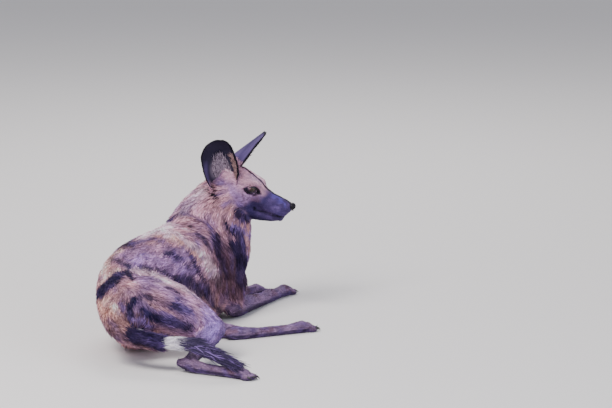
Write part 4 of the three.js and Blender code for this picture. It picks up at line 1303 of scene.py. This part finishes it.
def add_nose():
    points, faces = ball(72, 72)
    forward, side, up = points[:, 0], np.abs(points[:, 1]), points[:, 2]
    reach = 1 - PHILTRUM_DEPTH * bell(side, 0, PHILTRUM_WIDTH) * (forward > 0) * fade(up, -0.2, 0.4)
    for across, width, height, tall, depth, start in (NOSTRIL, NOSTRIL_SLIT, NOSTRIL_FLARE):
        reach -= depth * bell(side, across, width) * bell(up, height, tall) * (forward > start)
    # Painted shade in the nostril hollows.
    nostril_shade = bell(side, *NOSTRIL[:2]) * bell(up, *NOSTRIL[2:4]) * (forward > NOSTRIL[5])
    colours = mix(filled(NOSE_COLOUR, len(points)), BLACK, NOSTRIL_PAINTED_SHADE * nostril_shade)
    shape = points * reach[:, None] * NOSE_SIZE
    shape[:, 2] *= np.where(up > 0, *NOSE_HEIGHTS)
    material = grained_material("nose", 0.38, 0.0, 0.5)
    add_piece("nose_pad", from_head(NOSE + shape), faces, colours, material, "nose", ["nose"])


add_nose()

# Brush of the tail: a core with long hair lying back along it. Stations: place and radius.
BRUSH = np.array([
    [-36, -422, 79, 15],
    [-4, -432, 79, 17],
    [50, -452, 80, 17],
    [96, -476, 68, 12],
    [136, -496, 52, 5],
]) * MM
BRUSH_LENGTH = 0.19
BRUSH_CORE = 0.8
# The core under the brush's hair is darkened as painted shade.
BRUSH_CORE_PAINTED_SHADE = 0.7
BRUSH_SINK = 0.9
BRUSH_HAIRS = 5200
BRUSH_DARK = (0.045, 0.030, 0.075)
BRUSH_TIP = (0.075, 0.055, 0.13)


def brush_line(share):
    """Middle and radius of the brush at each share of its length."""
    place = np.clip(share, 0, 1) * (len(BRUSH) - 1)
    line = np.stack([np.interp(place, range(len(BRUSH)), BRUSH[:, k]) for k in range(4)], axis=1)
    return line[:, :3] + SHIFT, line[:, 3] * BRUSH_CORE


def brush_colours(share, places):
    """Dark at the root, then the white band, then a dark tip with pale strands."""
    share = share + 0.22 * (rough_noise(places, size=0.012, seed=51) - 0.5)
    white = 0.95 * ramp(share, 0.05, 0.13) * fade(share, 0.38, 0.52)
    tip = ramp(share, 0.45, 0.60)
    strands = 0.8 * tip * patches(places * [1, 4, 4], size=0.02, seed=57, start=0.60, full=0.66)
    return layered(filled(BRUSH_DARK, len(share)), [(WHITE, white), (BRUSH_TIP, tip), (LILAC, strands)])


def add_brush():
    line, radii = brush_line(np.linspace(0, 1, 33))
    points, faces = tube(line, radii, 20)
    from_start = np.interp(points[:, 0], line[[0, -1], 0], [0, 1])
    # Painted shade on the core, under the hair.
    colours = brush_colours(from_start, points) * BRUSH_CORE_PAINTED_SHADE
    unwrap(add_piece("tail_brush_core", points, faces, colours, coat_material, "coat", ["tail_brush"]))
    rng = np.random.default_rng(41)
    share = rng.random(BRUSH_HAIRS)
    line, radii = brush_line(share)
    ahead = unit(brush_line(np.minimum(share + 0.02, 1))[0] - brush_line(np.maximum(share - 0.02, 0))[0])
    spread = rng.uniform(0, 2 * math.pi, BRUSH_HAIRS)
    above = along_skin(np.array([0.0, 0.0, 1.0]), ahead)
    out = above * np.cos(spread)[:, None] + np.cross(ahead, above) * np.sin(spread)[:, None]
    roots = line + out * (radii * BRUSH_SINK)[:, None]
    swing = rng.normal(0, 0.13, BRUSH_HAIRS) + 0.25 * (noise(roots, size=0.02, seed=53) - 0.5)
    runs = turned(ahead, out, swing)
    lengths = 0.034 * (1 + share) * rng.uniform(0.6, 1.3, BRUSH_HAIRS)
    widths = 0.0022 * rng.uniform(0.7, 1.3, BRUSH_HAIRS)
    lifts = np.radians(14) * rng.uniform(0.3, 1.6, BRUSH_HAIRS)
    colours = brush_colours(share + 0.5 * lengths / BRUSH_LENGTH, roots)
    colours = colours * rng.normal(1, 0.2, BRUSH_HAIRS)[:, None]
    uv = np.stack([0.05 + 0.9 * share, 0.05 + 0.9 * spread / (2 * math.pi)], axis=1)
    tufts = [roots, out, runs, lengths, widths, lifts, np.clip(colours, LEAST_COLOUR, 1), uv]
    add_tufts("tail_brush_hair", tufts, rings=4, droop=0.05)


add_brush()

# Claws of dark horn. Each foot: the last two stations of its solid.
CLAWS = 4
CLAW_SPACING = 0.0105
CLAW_REACHES = (0.02475, 0.01675)
CLAW_SPREAD = 0.1
CLAW_SINK = 0.005
CLAW_LENGTH = 0.01735
CLAW_RADIUS = 0.0030
CLAW_HEIGHT = 0.0102
CLAW_DROP = 0.0062
CLAW_COLOUR = (0.022, 0.018, 0.022)
FEET = {
    "hind_right": ((184, -508, 17), (201, -516, 14)),
    "hind_left": ((346, 60, 17), (364, 72, 14)),
    "fore_right": ((297, 546, 17), (306, 562, 13)),
    "fore_left": ((217, 553, 17), (229, 566, 13)),
}


def claw(end, ahead, across, place):
    """A claw of the foot that ends there, so many claws from its middle."""
    heading = unit(ahead + across * place * CLAW_SPREAD)
    reach = CLAW_REACHES[0] if abs(place) < 1 else CLAW_REACHES[1]
    root = end + across * place * CLAW_SPACING + heading * reach
    share = np.linspace(0, 1, 9)
    path = root + heading * (share * CLAW_LENGTH - CLAW_SINK)[:, None]
    path[:, 2] = CLAW_HEIGHT - CLAW_DROP * share**2
    return tube(path, CLAW_RADIUS * (1 - 0.82 * share**1.3), 10)


claw_material = gloss_material("claw", 0.35, 0.2)
for foot_name, foot in FEET.items():
    foot_before, foot_end = np.array(foot) * MM + SHIFT
    foot_ahead = unit((foot_end - foot_before) * [1, 1, 0])
    foot_across = np.array([-foot_ahead[1], foot_ahead[0], 0])
    claws = [claw(foot_end, foot_ahead, foot_across, k - (CLAWS - 1) / 2) for k in range(CLAWS)]
    add_piece(f"claws_{foot_name}", *joined(claws), CLAW_COLOUR, claw_material)

# Floor, light and camera. Lights: place, size, power and colour.
FLOOR_CORNERS = [(-8, -8, 0), (8, -8, 0), (8, 12, 0), (-8, 12, 0)]
FLOOR_COLOUR = (0.80, 0.79, 0.77, 1)
LIGHTS = {
    "key": ((-1.8, -2.0, 3.5), 1.8, 195, (1.0, 0.95, 0.94)),
    "fill": ((2.6, -2.0, 1.6), 2.2, 36, (0.80, 0.84, 1.0)),
    "back": ((0.2, 3.0, 3.0), 2.0, 80, (1.0, 0.96, 0.95)),
}
LIGHT_AIM = (0, 0, 0.2)
WORLD_COLOUR = (0.86, 0.86, 0.96, 1)
WORLD_STRENGTH = 0.55


def add_camera():
    data = bpy.data.cameras.new("camera")
    data.sensor_width = SENSOR
    data.lens = PIXELS_PER_METRE * VIEW_DISTANCE * SENSOR / PICTURE[0]
    data.clip_end = 100
    camera = new_object("camera", data)
    camera.location = CAMERA_PLACE
    camera.rotation_euler = (math.pi / 2 - VIEW_ELEVATION, 0, 0)
    bpy.context.scene.camera = camera


def add_floor():
    mesh = bpy.data.meshes.new("floor")
    mesh.from_pydata(FLOOR_CORNERS, [], [(0, 1, 2, 3)])
    mesh.materials.append(new_material("floor", {"Base Color": FLOOR_COLOUR, "Roughness": 0.9})[0])
    new_object("floor", mesh)


def add_light(name, place, size, power, colour):
    data = bpy.data.lights.new(name, "AREA")
    data.size = size
    data.energy = power
    data.color = colour
    lamp = new_object(name, data)
    lamp.location = place
    lamp.rotation_euler = (Vector(LIGHT_AIM) - Vector(place)).to_track_quat("-Z", "Y").to_euler()


def add_world():
    world = bpy.data.worlds.new("studio")
    world.use_nodes = True
    set_inputs(world.node_tree.nodes["Background"], {"Color": WORLD_COLOUR, "Strength": WORLD_STRENGTH})
    bpy.context.scene.world = world


add_camera()
add_floor()
for light_name, light in LIGHTS.items():
    add_light(light_name, *light)
add_world()
